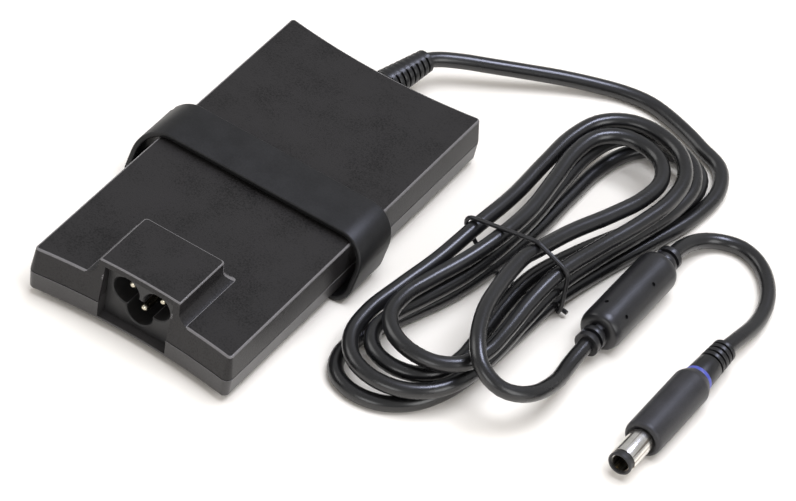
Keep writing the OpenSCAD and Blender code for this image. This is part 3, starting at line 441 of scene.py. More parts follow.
class Material(Enum):
    """Every finish of the part, by the name of its slot in the record."""

    # Polycarbonate and ABS blend from a spark-eroded mould: a near-black skin with a fine pebble, and a
    # painted highlight along its edges, which are also less rough. The real grain is about 0.1 mm, and it is
    # drawn at 0.42 mm so that it shows.
    TOP_CASE = MouldedTexture(
        "polycarbonate_abs_charcoal", "#0b0b0b", "#262526", (0.3, 0.36), 0.42, 0.03, 14,
        specular=0.26, edge=0.2,
    )
    # The same blend from a shallower texture: a shade lighter, with an even sheen and a painted highlight
    # along its edges; drawn as coarse.
    BASE_CASE = MouldedTexture(
        "polycarbonate_abs_charcoal_base", "#242425", "#363536", (0.3, 0.36), 0.42, 0.016, 14,
        edge=0.18,
    )
    # Press-moulded nitrile rubber: dull and black.
    FOOT = Finish("nitrile_rubber_foot", "#161617", "#1f1f20", (0.6, 0.75), 0.3, 0.02, 4)
    # Injection-moulded nylon: black and half matt, with a painted highlight along its edges.
    INLET = Finish("nylon_inlet_black", "#202021", "#2a2a2b", (0.42, 0.5), 0.3, 0.012, 6, edge=0.12)
    # Turned brass pins, barrel plated with nickel: soft bright metal, a little warm.
    CONTACT = Finish("nickel_plated_brass", "#b9b19d", "#d8d2c2", (0.18, 0.28), 0.3, 0.004, 2, 1.0)
    # Moulded thermoplastic rubber: near black, with a soft and wide sheen.
    STRAP = Finish(
        "thermoplastic_rubber_strap", "#0f0f10", "#1a1a1b", (0.4, 0.48), 0.5, 0.02, 9, specular=0.4
    )
    # Drawn polyester film, die cut: smooth, milky and yellowish.
    SHEET = Finish("polyester_insulating_film", "#aea78c", "#c4bea4", (0.3, 0.4), 1.0, 0.01, 20)
    # Pressed phenolic paper: brown, with faint fibres.
    BOARD = Finish("phenolic_paper_board", "#6f5630", "#957447", (0.45, 0.6), 0.4, 0.01, 8)
    # Rolled aluminium as it leaves the mill: grey and half bright.
    SPREADER = Finish("mill_finish_aluminium", "#a8abaf", "#c6c9cc", (0.3, 0.42), 0.4, 0.006, 10, 1.0)
    # Sintered and ground ferrite: stony dark grey.
    FERRITE = Finish("manganese_zinc_ferrite", "#343436", "#454548", (0.55, 0.7), 0.25, 0.02, 5)
    # Polyester tape wrapped over the winding: smooth strong yellow.
    WINDING = Finish("polyester_tape_yellow", "#c79a1f", "#e2b93c", (0.25, 0.38), 1.2, 0.02, 6)
    # Heat-shrunk PVC sleeve: tight, glossy and navy.
    CAPACITOR = Finish("pvc_sleeve_navy", "#182233", "#253553", (0.25, 0.36), 0.8, 0.01, 7)
    # Fired ceramic tube between pressed caps: pale and smooth.
    FUSE = Finish("fuse_ceramic_and_cap", "#b3ae9e", "#d6d2c6", (0.25, 0.4), 0.5, 0.01, 5)
    # Plastic box filled with cast epoxy: flat yellow.
    FILM_BOX = Finish("filled_epoxy_box_yellow", "#b98612", "#dfae2d", (0.35, 0.48), 0.4, 0.012, 5)
    # Disc dipped in epoxy powder: thick blue coat with soft lumps.
    CERAMIC_DISC = Finish("dipped_epoxy_blue", "#2c5d94", "#4583c3", (0.3, 0.42), 0.6, 0.02, 4)
    # Enamelled copper wound in turns that touch: clear brown gloss over rounded ridges.
    COPPER_WIRE = WoundWire(
        "enamelled_copper_wire", "#93532a", "#c98549", (0.2, 0.3), 0.5, 0.12, 3, 0.8
    )
    # Transfer-moulded epoxy: black, with the mould's fine mist.
    PACKAGE = Finish("moulded_epoxy_black", "#19191b", "#242427", (0.45, 0.58), 0.25, 0.012, 4)
    # The same in white.
    OPTOCOUPLER = Finish("moulded_epoxy_white", "#d3d0c6", "#e8e6df", (0.4, 0.5), 0.3, 0.01, 4)
    # Injection-moulded nylon: milky white.
    HEADER = Finish("nylon_header_white", "#d9d6cb", "#ecebe4", (0.35, 0.45), 0.4, 0.008, 5)
    # PVC jacket extruded over the wires: black, smooth, with a narrow highlight along it.
    CORD = Finish(
        "pvc_cord_jacket", "#0e0e0f", "#18181a", (0.24, 0.32), 0.8, 0.012, 16,
        ior=1.52, specular=0.6,
    )
    # Soft PVC moulded over the cord: black, less glossy than the jacket.
    RELIEF = Finish("soft_pvc_relief", "#141415", "#1f1f21", (0.3, 0.4), 0.4, 0.012, 6, edge=0.08)
    # Extruded rubber cord: black and satin.
    TIE = Finish("rubber_tie", "#141416", "#212124", (0.34, 0.45), 0.35, 0.02, 3)
    # PVC moulded over the ferrite: black, with a wide highlight broken by an orange-peel grain.
    CHOKE = Finish(
        "overmoulded_pvc", "#131315", "#1e1e21", (0.33, 0.4), 0.45, 0.03, 8, specular=0.6
    )
    # PVC from a sand-blasted mould: charcoal satin. The blasting is about 0.1 mm, drawn at 0.4 mm.
    PLUG_MOULDING = Finish(
        "satin_pvc_plug", "#1e1e21", "#2b2b2f", (0.42, 0.5), 0.4, 0.04, 7
    )
    # Tinted clear polycarbonate over a lamp: blue, with a painted glow from within.
    LIGHT_RING = PaintedGlowPlastic(
        "tinted_polycarbonate_ring", "#40479a", "#5860b6", (0.3, 0.4), 0.4, 0.004, 3, painted_glow=0.12
    )
    # Cast clear epoxy: a pale glossy drop, with a painted glow.
    LED = PaintedGlowPlastic("clear_epoxy_lens", "#b9bdf0", "#dfe2ff", (0.1, 0.2), 0.3, 0.002, 2)
    # Deep-drawn tube with bright nickel: mirror-like, with painted reflections as streaks along Y, the way it
    # was drawn.
    PLUG_METAL = PlatedTube(
        "bright_nickel_plate", "#dbd8d2", "#efede8", (0.18, 0.26), 0.3, 0.003, 3, 1.0
    )
    # Glass-filled nylon: black with a dry surface.
    NOSE = Finish("glass_filled_nylon", "#1b1b1d", "#29292b", (0.35, 0.48), 0.2, 0.012, 2)
    # Turned brass with a thin gold plate: warm metal.
    CENTRE_PIN = Finish("gold_plated_brass", "#a98c4e", "#d2b878", (0.2, 0.3), 0.2, 0.003, 1, 1.0)

    @property
    def slot(self) -> str:
        """The record's name of the slot."""
        return self.name.lower()

    def made(self) -> bpy.types.Material:
        """The Blender material, made on first use."""
        found = bpy.data.materials.get(self.value.name)
        return found or self.value.material()


# Pieces


def raw_object(name: str, shape: Shape) -> bpy.types.Object:
    """Object at the origin with a shape's mesh, in metres."""
    mesh = bpy.data.meshes.new(name)
    mesh.from_pydata((shape.points * METRES).tolist(), [], shape.faces)
    mesh.validate()
    mesh.update()
    obj = bpy.data.objects.new(name, mesh)
    bpy.context.scene.collection.objects.link(obj)
    return obj


def applied(obj: bpy.types.Object) -> None:
    """Turns what an object's modifiers show into its own mesh."""
    shown = obj.evaluated_get(bpy.context.evaluated_depsgraph_get())
    old, new = obj.data, bpy.data.meshes.new_from_object(shown)
    obj.modifiers.clear()
    obj.data = new
    name = old.name
    bpy.data.meshes.remove(old)
    new.name = name


def combined(name: str, shape: Shape, added: Sequence[Shape], taken: Sequence[Shape]) -> bpy.types.Object:
    """Object of a shape with others joined to it, then others cut from it."""
    obj = raw_object(name, shape)
    tools = [("UNION", s) for s in added] + [("DIFFERENCE", s) for s in taken]
    for i, (operation, tool) in enumerate(tools):
        other = raw_object(f"{name}_tool_{i}", tool)
        step = obj.modifiers.new("step", "BOOLEAN")
        step.operation, step.solver, step.object = operation, "EXACT", other
        applied(obj)
        mesh = other.data
        bpy.data.objects.remove(other)
        bpy.data.meshes.remove(mesh)
    return obj


def mark_edges(obj: bpy.types.Object, width: float) -> None:
    """Marks the narrow faces that round an edge, where a highlight is painted and the plastic is made less
    rough.

    A face's width is its area over its longest side.

    Args:
        obj: The piece.
        width: Width in millimetres under which a face is marked.
    """
    mesh = obj.data
    ends = np.empty(2 * len(mesh.edges), int)
    mesh.edges.foreach_get("vertices", ends)
    points = np.empty(3 * len(mesh.vertices))
    mesh.vertices.foreach_get("co", points)
    ends, points = ends.reshape(-1, 2), points.reshape(-1, 3)
    lengths = np.linalg.norm(points[ends[:, 0]] - points[ends[:, 1]], axis=1)
    sides, starts = np.empty(len(mesh.loops), int), np.empty(len(mesh.polygons), int)
    mesh.loops.foreach_get("edge_index", sides)
    mesh.polygons.foreach_get("loop_start", starts)
    areas = np.empty(len(mesh.polygons))
    mesh.polygons.foreach_get("area", areas)
    narrow = areas / np.maximum.reduceat(lengths[sides], starts) < width * METRES
    mesh.attributes.new(PAINTED_HIGHLIGHT_MARK, "FLOAT", "FACE").data.foreach_set("value", narrow.astype(float))


def dressed(
    obj: bpy.types.Object,
    material: Material,
    replaced: Sequence[str],
    body: Body = Body.ADAPTER,
    sharp_deg: float = 32.0,
    has_flats: bool = False,
) -> bpy.types.Object:
    """Gives a piece its shading, material, body and the CAD nodes that it stands for.

    Args:
        obj: The piece.
        material: Its finish.
        replaced: Names of CAD nodes.
        body: The body that it rides on.
        sharp_deg: Edges over this angle stay sharp.
        has_flats: True where large flat faces keep their own direction to light, and narrow edge faces are
            marked for a painted highlight.

    Returns:
        The piece.
    """
    mesh = obj.data
    mesh.polygons.foreach_set("use_smooth", [True] * len(mesh.polygons))
    mesh.set_sharp_from_angle(angle=math.radians(sharp_deg))
    mesh.materials.clear()
    mesh.materials.append(material.made())
    if has_flats:
        step = obj.modifiers.new("flats", "WEIGHTED_NORMAL")
        step.mode, step.weight, step.keep_sharp = "FACE_AREA", 100, True
        applied(obj)
        # Marks the edge faces that get the painted highlight.
        mark_edges(obj, EDGE_WIDTH)
    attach(obj, body.value)
    if replaced:
        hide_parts(*replaced)
    log.info("%s: %d faces", obj.name, len(obj.data.polygons))
    return obj


def piece(name: str, shape: Shape, material: Material, replaced: Sequence[str]) -> bpy.types.Object:
    """A finished piece of the adapter's body from one shape."""
    return dressed(raw_object(name, shape), material, replaced)


# Camera


@dataclass(frozen=True)
class StudioCamera:
    """A long lens that looks down over the inlet end."""

    azimuth_deg: float = 25.4613
    elevation_deg: float = 42.9494
    roll_deg: float = 10.9116
    eye: tuple[float, float, float] = (462.4, -878.1, 923.9)
    lens: float = 221.19
    sensor: float = 36.0

    def build(self) -> bpy.types.Object:
        """Makes the camera and sets it as the scene's own."""
        a, e, r = (math.radians(v) for v in (self.azimuth_deg, self.elevation_deg, self.roll_deg))
        right = np.array([math.cos(a), math.sin(a), 0.0])
        back = np.array([math.sin(a) * math.cos(e), -math.cos(a) * math.cos(e), math.sin(e)])
        up = np.cross(back, right)
        across = right * math.cos(r) + up * math.sin(r)
        upward = up * math.cos(r) - right * math.sin(r)
        data = bpy.data.cameras.new("studio_camera")
        data.lens, data.sensor_width, data.sensor_fit = self.lens, self.sensor, "HORIZONTAL"
        data.clip_start, data.clip_end = 0.05, 20.0
        obj = bpy.data.objects.new("studio_camera", data)
        place = np.eye(4)
        place[:3, :3] = np.stack([across, upward, back], 1)
        place[:3, 3] = np.asarray(self.eye) * METRES
        obj.matrix_world = Matrix(place.tolist())
        bpy.context.scene.collection.objects.link(obj)
        bpy.context.scene.camera = obj
        return obj


# Cord


def smooth(t: float) -> float:
    """Smooth step from 0 to 1."""
    c = min(max(t, 0.0), 1.0)
    return c * c * (3 - 2 * c)


@dataclass(frozen=True)
class Hank:
    """Loops of cord drawn in at the waist, laid in layers that wind in and out again.

    A point lies reach times the turn's cosine along the hank, and across it the sine times
    the waist's half width plus a bulge that grows with the cosine squared. Loops farther in
    are shorter and narrower, and each layer adds its step to the height.
    """

    centre: tuple[float, float] = (69.0, 27.0)
    turn_deg: float = 5.0
    turns: float = 4.25
    rings: int = 24
    layer_step: float = 5.4
    layer_starts: tuple[float, ...] = (1.0, 2.5, 4.0)
    climb: float = 0.5
    rear: tuple[float, float] = (83.5, 7.5)
    front: tuple[float, float] = (70.0, 7.0)
    reach_step: float = 7.3
    waist: tuple[float, float] = (14.4, 8.5)
    rear_bulge: float = 22.4
    front_bulge: float = 19.6
    bulge_gain: float = 2.0
    rear_shift: tuple[float, float] = (4.0, -3.2)
    front_shift: tuple[float, float] = (-6.6, 4.0)
    lift: tuple[float, float] = (1.6, 16.0)

    @staticmethod
    def depth(t: float) -> float:
        """Distance of a loop from the outermost one after t turns."""
        if t < 1.25:
            return t
        if t < 2.75:
            return 2.5 - t
        return t - 3 if t < 4.25 else 5.5 - t

    def local(self, t: float, radius: float) -> tuple[float, float, float]:
        """Place after t turns: across the hank, along it, and up."""
        c, s = math.cos(2 * math.pi * t), math.sin(2 * math.pi * t)
        depth = self.depth(t)
        layer = sum(smooth((t - start) / self.climb) for start in self.layer_starts)
        is_rear = c > 0
        reach, loss = self.rear if is_rear else self.front
        shift, gain = self.rear_shift if is_rear else self.front_shift
        u = (reach - layer * loss - depth * self.reach_step) * c
        bulge = (self.rear_bulge if is_rear else self.front_bulge) + depth * self.bulge_gain
        v = s * (self.waist[0] - depth * self.waist[1] + bulge * c * c) + (shift + layer * gain) * c * c
        z = radius + self.layer_step * layer + self.lift[0] * math.exp(-((u / self.lift[1]) ** 2))
        return v, u, z

    def placed(self, v: float, u: float, z: float) -> np.ndarray:
        """A local place in the part's frame."""
        c, s = math.cos(math.radians(self.turn_deg)), math.sin(math.radians(self.turn_deg))
        return np.array([self.centre[0] + u * s + v * c, self.centre[1] + u * c - v * s, z])

    def line(self, radius: float) -> np.ndarray:
        """Points of all loops, lengthened straight by a diameter at both ends."""
        count = round(self.turns * self.rings)
        loops = np.array([self.placed(*self.local(i / self.rings, radius)) for i in range(count + 1)])
        first, last = loops[1] - loops[0], loops[-1] - loops[-2]
        first, last = first / np.linalg.norm(first), last / np.linalg.norm(last)
        start = loops[0] - 2 * radius * first * [1, 1, 0]
        return np.vstack([start, loops, loops[-1] + 2 * radius * last])


@dataclass(frozen=True)
class Sleeve:
    """Ribbed sleeve with slots cut between its ribs on two sides."""

    length: float
    radii: tuple[float, float]
    ribs: int
    depth: float
    groove: float = 0.36
    slot_deg: float = 58.0
    turns_deg: tuple[float, ...] = (85.0, -95.0)
    stagger_deg: float = 0.0
    core_share: float = 0.98
    web_drop: float = 0.06
    end_drop: float = 0.15
    lip: float = 0.12
    lip_share: float = 0.2
    slot_fade_deg: float = 7.0

    def shape(self, core: float, sides: int = FINE_SIDES) -> Shape:
        """The sleeve from its start at y = 0, closed round a core of that radius.

        Each rib has its own radius. In the groove before it, the radius falls by the depth
        at the angles where a slot lies, and by the web's drop elsewhere.
        """
        angles = np.linspace(0, 2 * math.pi, sides, endpoint=False)
        pitch = self.length / self.ribs
        lip = min(self.lip, pitch * self.groove * self.lip_share)
        rings = [(np.full(sides, core * self.core_share), 0.0)]
        for i in range(self.ribs):
            rib = self.radii[0] + (self.radii[1] - self.radii[0]) * i / max(self.ribs - 1, 1)
            stagger = self.stagger_deg * (-1) ** i
            slot = np.zeros(sides)
            for turn in self.turns_deg:
                away = np.abs((np.degrees(angles) - turn - stagger + 180) % 360 - 180)
                slot = np.maximum(slot, np.clip((self.slot_deg - away) / self.slot_fade_deg + 0.5, 0, 1))
            start, end = i * pitch, i * pitch + pitch * self.groove
            web = np.full(sides, rib - self.web_drop)
            cut = rib - self.depth * slot - self.web_drop
            rings += [(web, start), (cut, start + lip), (cut, end - lip), (web, end)]
            rings += [(np.full(sides, rib), end + lip), (np.full(sides, rib), start + pitch - lip)]
        rings.append((np.full(sides, rib - self.end_drop), self.length - 1e-3))
        rings.append((np.full(sides, core * self.core_share), self.length))
        return loft(
            [np.stack([r * np.sin(angles), np.full(sides, y), r * np.cos(angles)], 1) for r, y in rings]
        )


@dataclass(frozen=True)
class Choke:
    """Moulded cover of the ferrite choke, along +Y: a barrel between two slotted necks."""

    place: tuple[float, float, float] = (98.2, 20.8, 6.4)
    length: float = 34.0
    radius: float = 6.3
    neck: float = 6.0
    neck_radius: float = 3.7
    # A rounded end, as (drop below the radius, distance from the end)
    end_steps: Profile = ((1.9, 0.0), (0.5, 0.5), (0.0, 2.2))
    end_round: float = 1.1
    # Dimples, as (distance along the barrel, turn from the top in degrees)
    dimples: Profile = ((6.7, 47.0), (6.7, -20.0), (22.2, 39.0))
    # What a dimple cuts, as (radius, height over the barrel)
    dimple_cut: Profile = ((0.0, -0.7), (0.6, -0.7), (0.66, 0.6), (0.0, 0.6))

    def through(self) -> list[tuple[float, float, float]]:
        """Points of the cord's straight run through the cover."""
        x, y, z = self.place
        return [(x, y - self.neck + d, z) for d in np.linspace(0, self.length + 2 * self.neck, 9)]

    def barrel(self) -> Shape:
        """The barrel, turned from its outline, from y = 0."""
        near = [(self.radius - drop, distance) for drop, distance in self.end_steps]
        far = [(r, self.length - distance) for r, distance in reversed(near)]
        return turned(rounded([(0, 0), *near, *far, (0, self.length)], self.end_round, 5), FINE_SIDES)

    def build(self, cord_radius: float) -> list[bpy.types.Object]:
        """Makes the barrel with its dimples, and the necks round the cord."""
        x, y, z = self.place
        cut = upright([(r, self.radius + height) for r, height in self.dimple_cut], 24)
        cuts = [cut.tipped(turn).moved((x, y + along, z)) for along, turn in self.dimples]
        cover = combined("choke_cover_moulding", self.barrel().moved(self.place), [], cuts)
        dressed(cover, Material.CHOKE, ["choke_cover"])
        sleeve = Sleeve(
            self.neck, (self.neck_radius, self.neck_radius), ribs=2, depth=0.9, groove=0.42,
            slot_deg=68.0, turns_deg=(60.0, -120.0), stagger_deg=40.0,
        )
        neck = sleeve.shape(cord_radius)
        faced_back = Shape(neck.points * [1, -1, 1] + [0, self.neck, 0], [f[::-1] for f in neck.faces])
        necks = joined(
            [faced_back.moved((x, y - self.neck, z)), neck.moved((x, y + self.length, z))]
        )
        return [cover, piece("choke_necks", necks, Material.CHOKE, [])]


@dataclass(frozen=True)
class Plug:
    """The plug, along +Y from its nose to its ribbed relief.

    An outline is in (radius, distance) pairs, and its comment names where distances start.
    """

    place: tuple[float, float, float] = (128.3, -5.5, 5.6)
    length: float = 29.6
    barrel: float = 11.8
    ring: float = 0.8
    collar: float = 6.4
    relief: float = 14.4
    # From the body's front: its mouth round the barrel
    mouth: Profile = ((0, 6), (3.56, 6), (3.56, 0.6), (4.1, 0.25), (4.5, 0), (5.3, 0.25), (5.6, 1.2))
    shell_end: float = 4.9
    shell_lip: Profile = ((3.7, 0), (3.52, 0.02))
    nose_end: float = 6.9
    floor_front: float = 2.0
    # From the body's back
    shoulder: Profile = ((5.6, -3.1), (5.05, -1.65), (4.2, 0), (0, 0))
    ring_front: Profile = ((0, -0.3), (4.2, -0.3), (4.26, 0))
    # From the ring's back
    ring_back: Profile = ((4.26, 0), (4.2, 0.2), (0, 0.2))
    collar_front: Profile = ((0, 0), (4.2, 0))
    # From the collar's back
    collar_back: Profile = ((3.9, 0), (3.3, 0.2), (0, 0.2))
    # From the nose's front
    shell_front: Profile = ((3.2, 2.2), (3.7, 2.2))
    nose_front: Profile = (
        (2.94, 0.8), (2.75, 0.75), (2.75, 0.25), (3.0, 0), (3.25, 0), (3.52, 0.35),
        (3.52, 0.95), (3.32, 1), (3.32, 2.2), (3.18, 2.25),
    )
    shell_inner: float = 3.2
    nose_inner: float = 2.94
    nose_outer: float = 3.18
    pin_hole: float = 0.32

    def end(self) -> float:
        """Where the ribbed relief ends."""
        return self.place[1] + self.length + self.ring + self.relief

    def build(self, cord_radius: float) -> list[bpy.types.Object]:
        """Makes the body, light ring, ribbed relief, bright barrel and black nose."""
        x, y, z = self.place
        back, front = y + self.length, y - self.barrel
        ring_end = back + self.ring
        collar_end = ring_end + self.collar
        body = [*counted(self.mouth, y), *counted(self.shoulder, back)]
        ring = [*counted(self.ring_front, back), *counted(self.ring_back, ring_end)]
        collar = [*counted(self.collar_front, ring_end), *counted(self.collar_back, collar_end)]
        shell = [
            (self.shell_inner, y + self.shell_end), *counted(self.shell_front, front),
            *counted(self.shell_lip, y), (self.shell_lip[-1][0], y + self.shell_end),
        ]
        nose = [
            (self.nose_inner, y + self.nose_end), *counted(self.nose_front, front),
            (self.nose_outer, y + self.nose_end),
        ]
        floor = [
            (self.pin_hole, y + self.nose_end), (self.pin_hole, y + self.floor_front),
            (self.nose_inner, y + self.floor_front), (self.nose_inner, y + self.nose_end),
        ]
        ribs = Sleeve(
            self.relief - self.collar, (3.9, 3.6), ribs=4, depth=0.8, slot_deg=150.0, turns_deg=(0.0,)
        ).shape(cord_radius)
        relief = [turned(rounded(collar, 0.25), FINE_SIDES), ribs.moved((0, collar_end, 0))]
        moulding = turned(rounded(body, 0.5, 4), FINE_SIDES)
        tube_wall = turned(rounded(shell, 0.12), FINE_SIDES, True)
        insulator = [turned(rounded(nose, 0.12), FINE_SIDES, True), turned(floor, 48, True)]
        parts = (
            ("plug_moulding", moulding, Material.PLUG_MOULDING, "plug_body"),
            ("plug_ring", turned(rounded(ring, 0.1), FINE_SIDES), Material.LIGHT_RING, "plug_light_ring"),
            ("plug_ribbed_relief", joined(relief), Material.RELIEF, "plug_relief"),
            ("plug_shell", tube_wall, Material.PLUG_METAL, "plug_barrel"),
            ("plug_insulator", joined(insulator), Material.NOSE, "plug_nose"),
        )
        return [
            piece(name, shape.moved((x, 0.0, z)), material, [node]) for name, shape, material, node in parts
        ]


@dataclass(frozen=True)
class OutputCord:
    """The output cord and what is moulded or tied on it."""

    diameter: float = 4.6
    declared_length: float = 1.58
    ring_step: float = 2.2
    relief_start: tuple[float, float, float] = (0.0, 63.1, 9.3)
    relief_length: float = 17.6
    relief_turn_deg: float = 10.0
    # The relief's collar, as (radius, y) pairs: it starts behind the case's wall and ends outside it
    relief_collar: Profile = (
        (0, 56.1), (4.9, 56.1), (4.9, 57.4), (3.8, 57.4), (3.8, 61.2), (4.7, 61.2), (4.7, 63.2), (0, 63.2)
    )
    tie: float = 1.3
    tie_gap: float = 0.2
    tie_pitch_gap: float = 0.3
    tie_tail: float = 2.0
    tie_start_deg: float = -36.0
    hank: Hank = Hank()
    choke: Choke = Choke()
    plug: Plug = Plug()

    LEAD = (
        (5.2, 84.2, 8.7), (10.4, 89.1, 7.8), (17.6, 94.3, 6.8), (26, 100.4, 5.6), (34.6, 106.4, 4.4),
        (43.2, 111.6, 3.2), (51.4, 115.2, 2.5), (59.2, 116.4, 2.3), (66.6, 115, 2.3),
    )
    LOOP = (
        (72.2, 13.5, 18.5), (73.4, 4.5, 19.3), (75.2, -4.2, 20), (77.8, -11.4, 20), (80.7, -16.9, 19.6),
        (84.4, -21.2, 18.2), (88.6, -22.6, 16), (92.6, -22, 14), (96.2, -19, 12.2),
        (98.6, -14, 10.3), (99.5, -7, 8.1), (99.3, -0.8, 6.5), (98.5, 6, 6.1),
    )
    TAIL = (
        (98.3, 66, 5.7), (99.1, 71.4, 4.5), (101.3, 76.4, 3.2), (105.2, 80, 2.4), (110.2, 81.4, 2.3),
        (115.4, 80.2, 2.3), (119.9, 77.2, 2.3), (123.6, 73, 2.3), (126.4, 68, 2.3), (128.2, 62, 2.4),
        (129, 55.2, 3.2), (128.8, 47.4, 4.6),
    )

    def axis(self) -> np.ndarray:
        """Direction in which the strain relief points."""
        turn = math.radians(self.relief_turn_deg)
        return np.array([math.sin(turn), math.cos(turn), 0.0])

    def exit(self) -> np.ndarray:
        """Where the cord leaves the strain relief."""
        return np.asarray(self.relief_start) + self.relief_length * self.axis()

    def route(self) -> np.ndarray:
        """The cord's line from inside the strain relief to inside the plug's own relief."""
        (x, _, z), end = self.plug.place, self.plug.end()
        start = [self.exit() - 6 * self.axis(), self.exit()]
        points = [*start, *self.LEAD, *self.hank.line(self.diameter / 2), *self.LOOP]
        points += [*self.choke.through(), *self.TAIL, (x, end, z), (x, end - 4, z)]
        return curve_through(points, self.ring_step)

    def build_tie(self) -> bpy.types.Object:
        """A rubber tie drawn round every strand at the hank's waist."""
        hank, radius = self.hank, self.diameter / 2
        times = np.arange(0.25, hank.turns + 1e-6, 0.5)
        strands = np.array([[hank.local(t, radius)[0], hank.local(t, radius)[2]] for t in times])
        reach = radius + self.tie / 2 + self.tie_gap

        def beside(angle: float) -> np.ndarray:
            """Point outside the strand that lies farthest out in a direction."""
            way = np.array([math.cos(angle), math.sin(angle)])
            return strands[np.argmax(strands @ way)] + reach * way

        start, pitch = math.radians(self.tie_start_deg), self.tie + self.tie_pitch_gap
        route = []
        for share in np.linspace(0, 1, 41):
            v, z = beside(start + 2 * math.pi * share)
            route.append(hank.placed(v, pitch * (share - 0.5), z))
        v, z = beside(start)
        route.append(hank.placed(v + self.tie_tail, pitch / 2, z))
        shape = tube(curve_through(route, 0.8), self.tie / 2, 12)
        return piece("rubber_tie", shape, Material.TIE, ["twist_tie"])

    def build_relief(self) -> bpy.types.Object:
        """The case's strain relief, with a collar against the case."""
        collar = turned(rounded(self.relief_collar, 0.3)).moved((0, 0, self.relief_start[2]))
        sleeve = Sleeve(self.relief_length, (4.7, 3.5), ribs=8, depth=0.95).shape(self.diameter / 2)
        shape = joined([collar, sleeve.moved(self.relief_start, self.relief_turn_deg)])
        return piece("ribbed_relief", shape, Material.RELIEF, ["strain_relief"])

    def build(self) -> bpy.types.Object:
        route, radius = self.route(), self.diameter / 2
        cord = piece(
            "output_cord", tube(route, radius, 24), Material.CORD,
            ["cord_lead", "cord_hank", "cord_loop", "cord_tail"],
        )
        pieces = [self.build_relief(), self.build_tie(), *self.choke.build(radius), *self.plug.build(radius)]
        log.info("cord: %.0f mm", np.linalg.norm(np.diff(route, axis=0), axis=1).sum())
        return cord


# Case


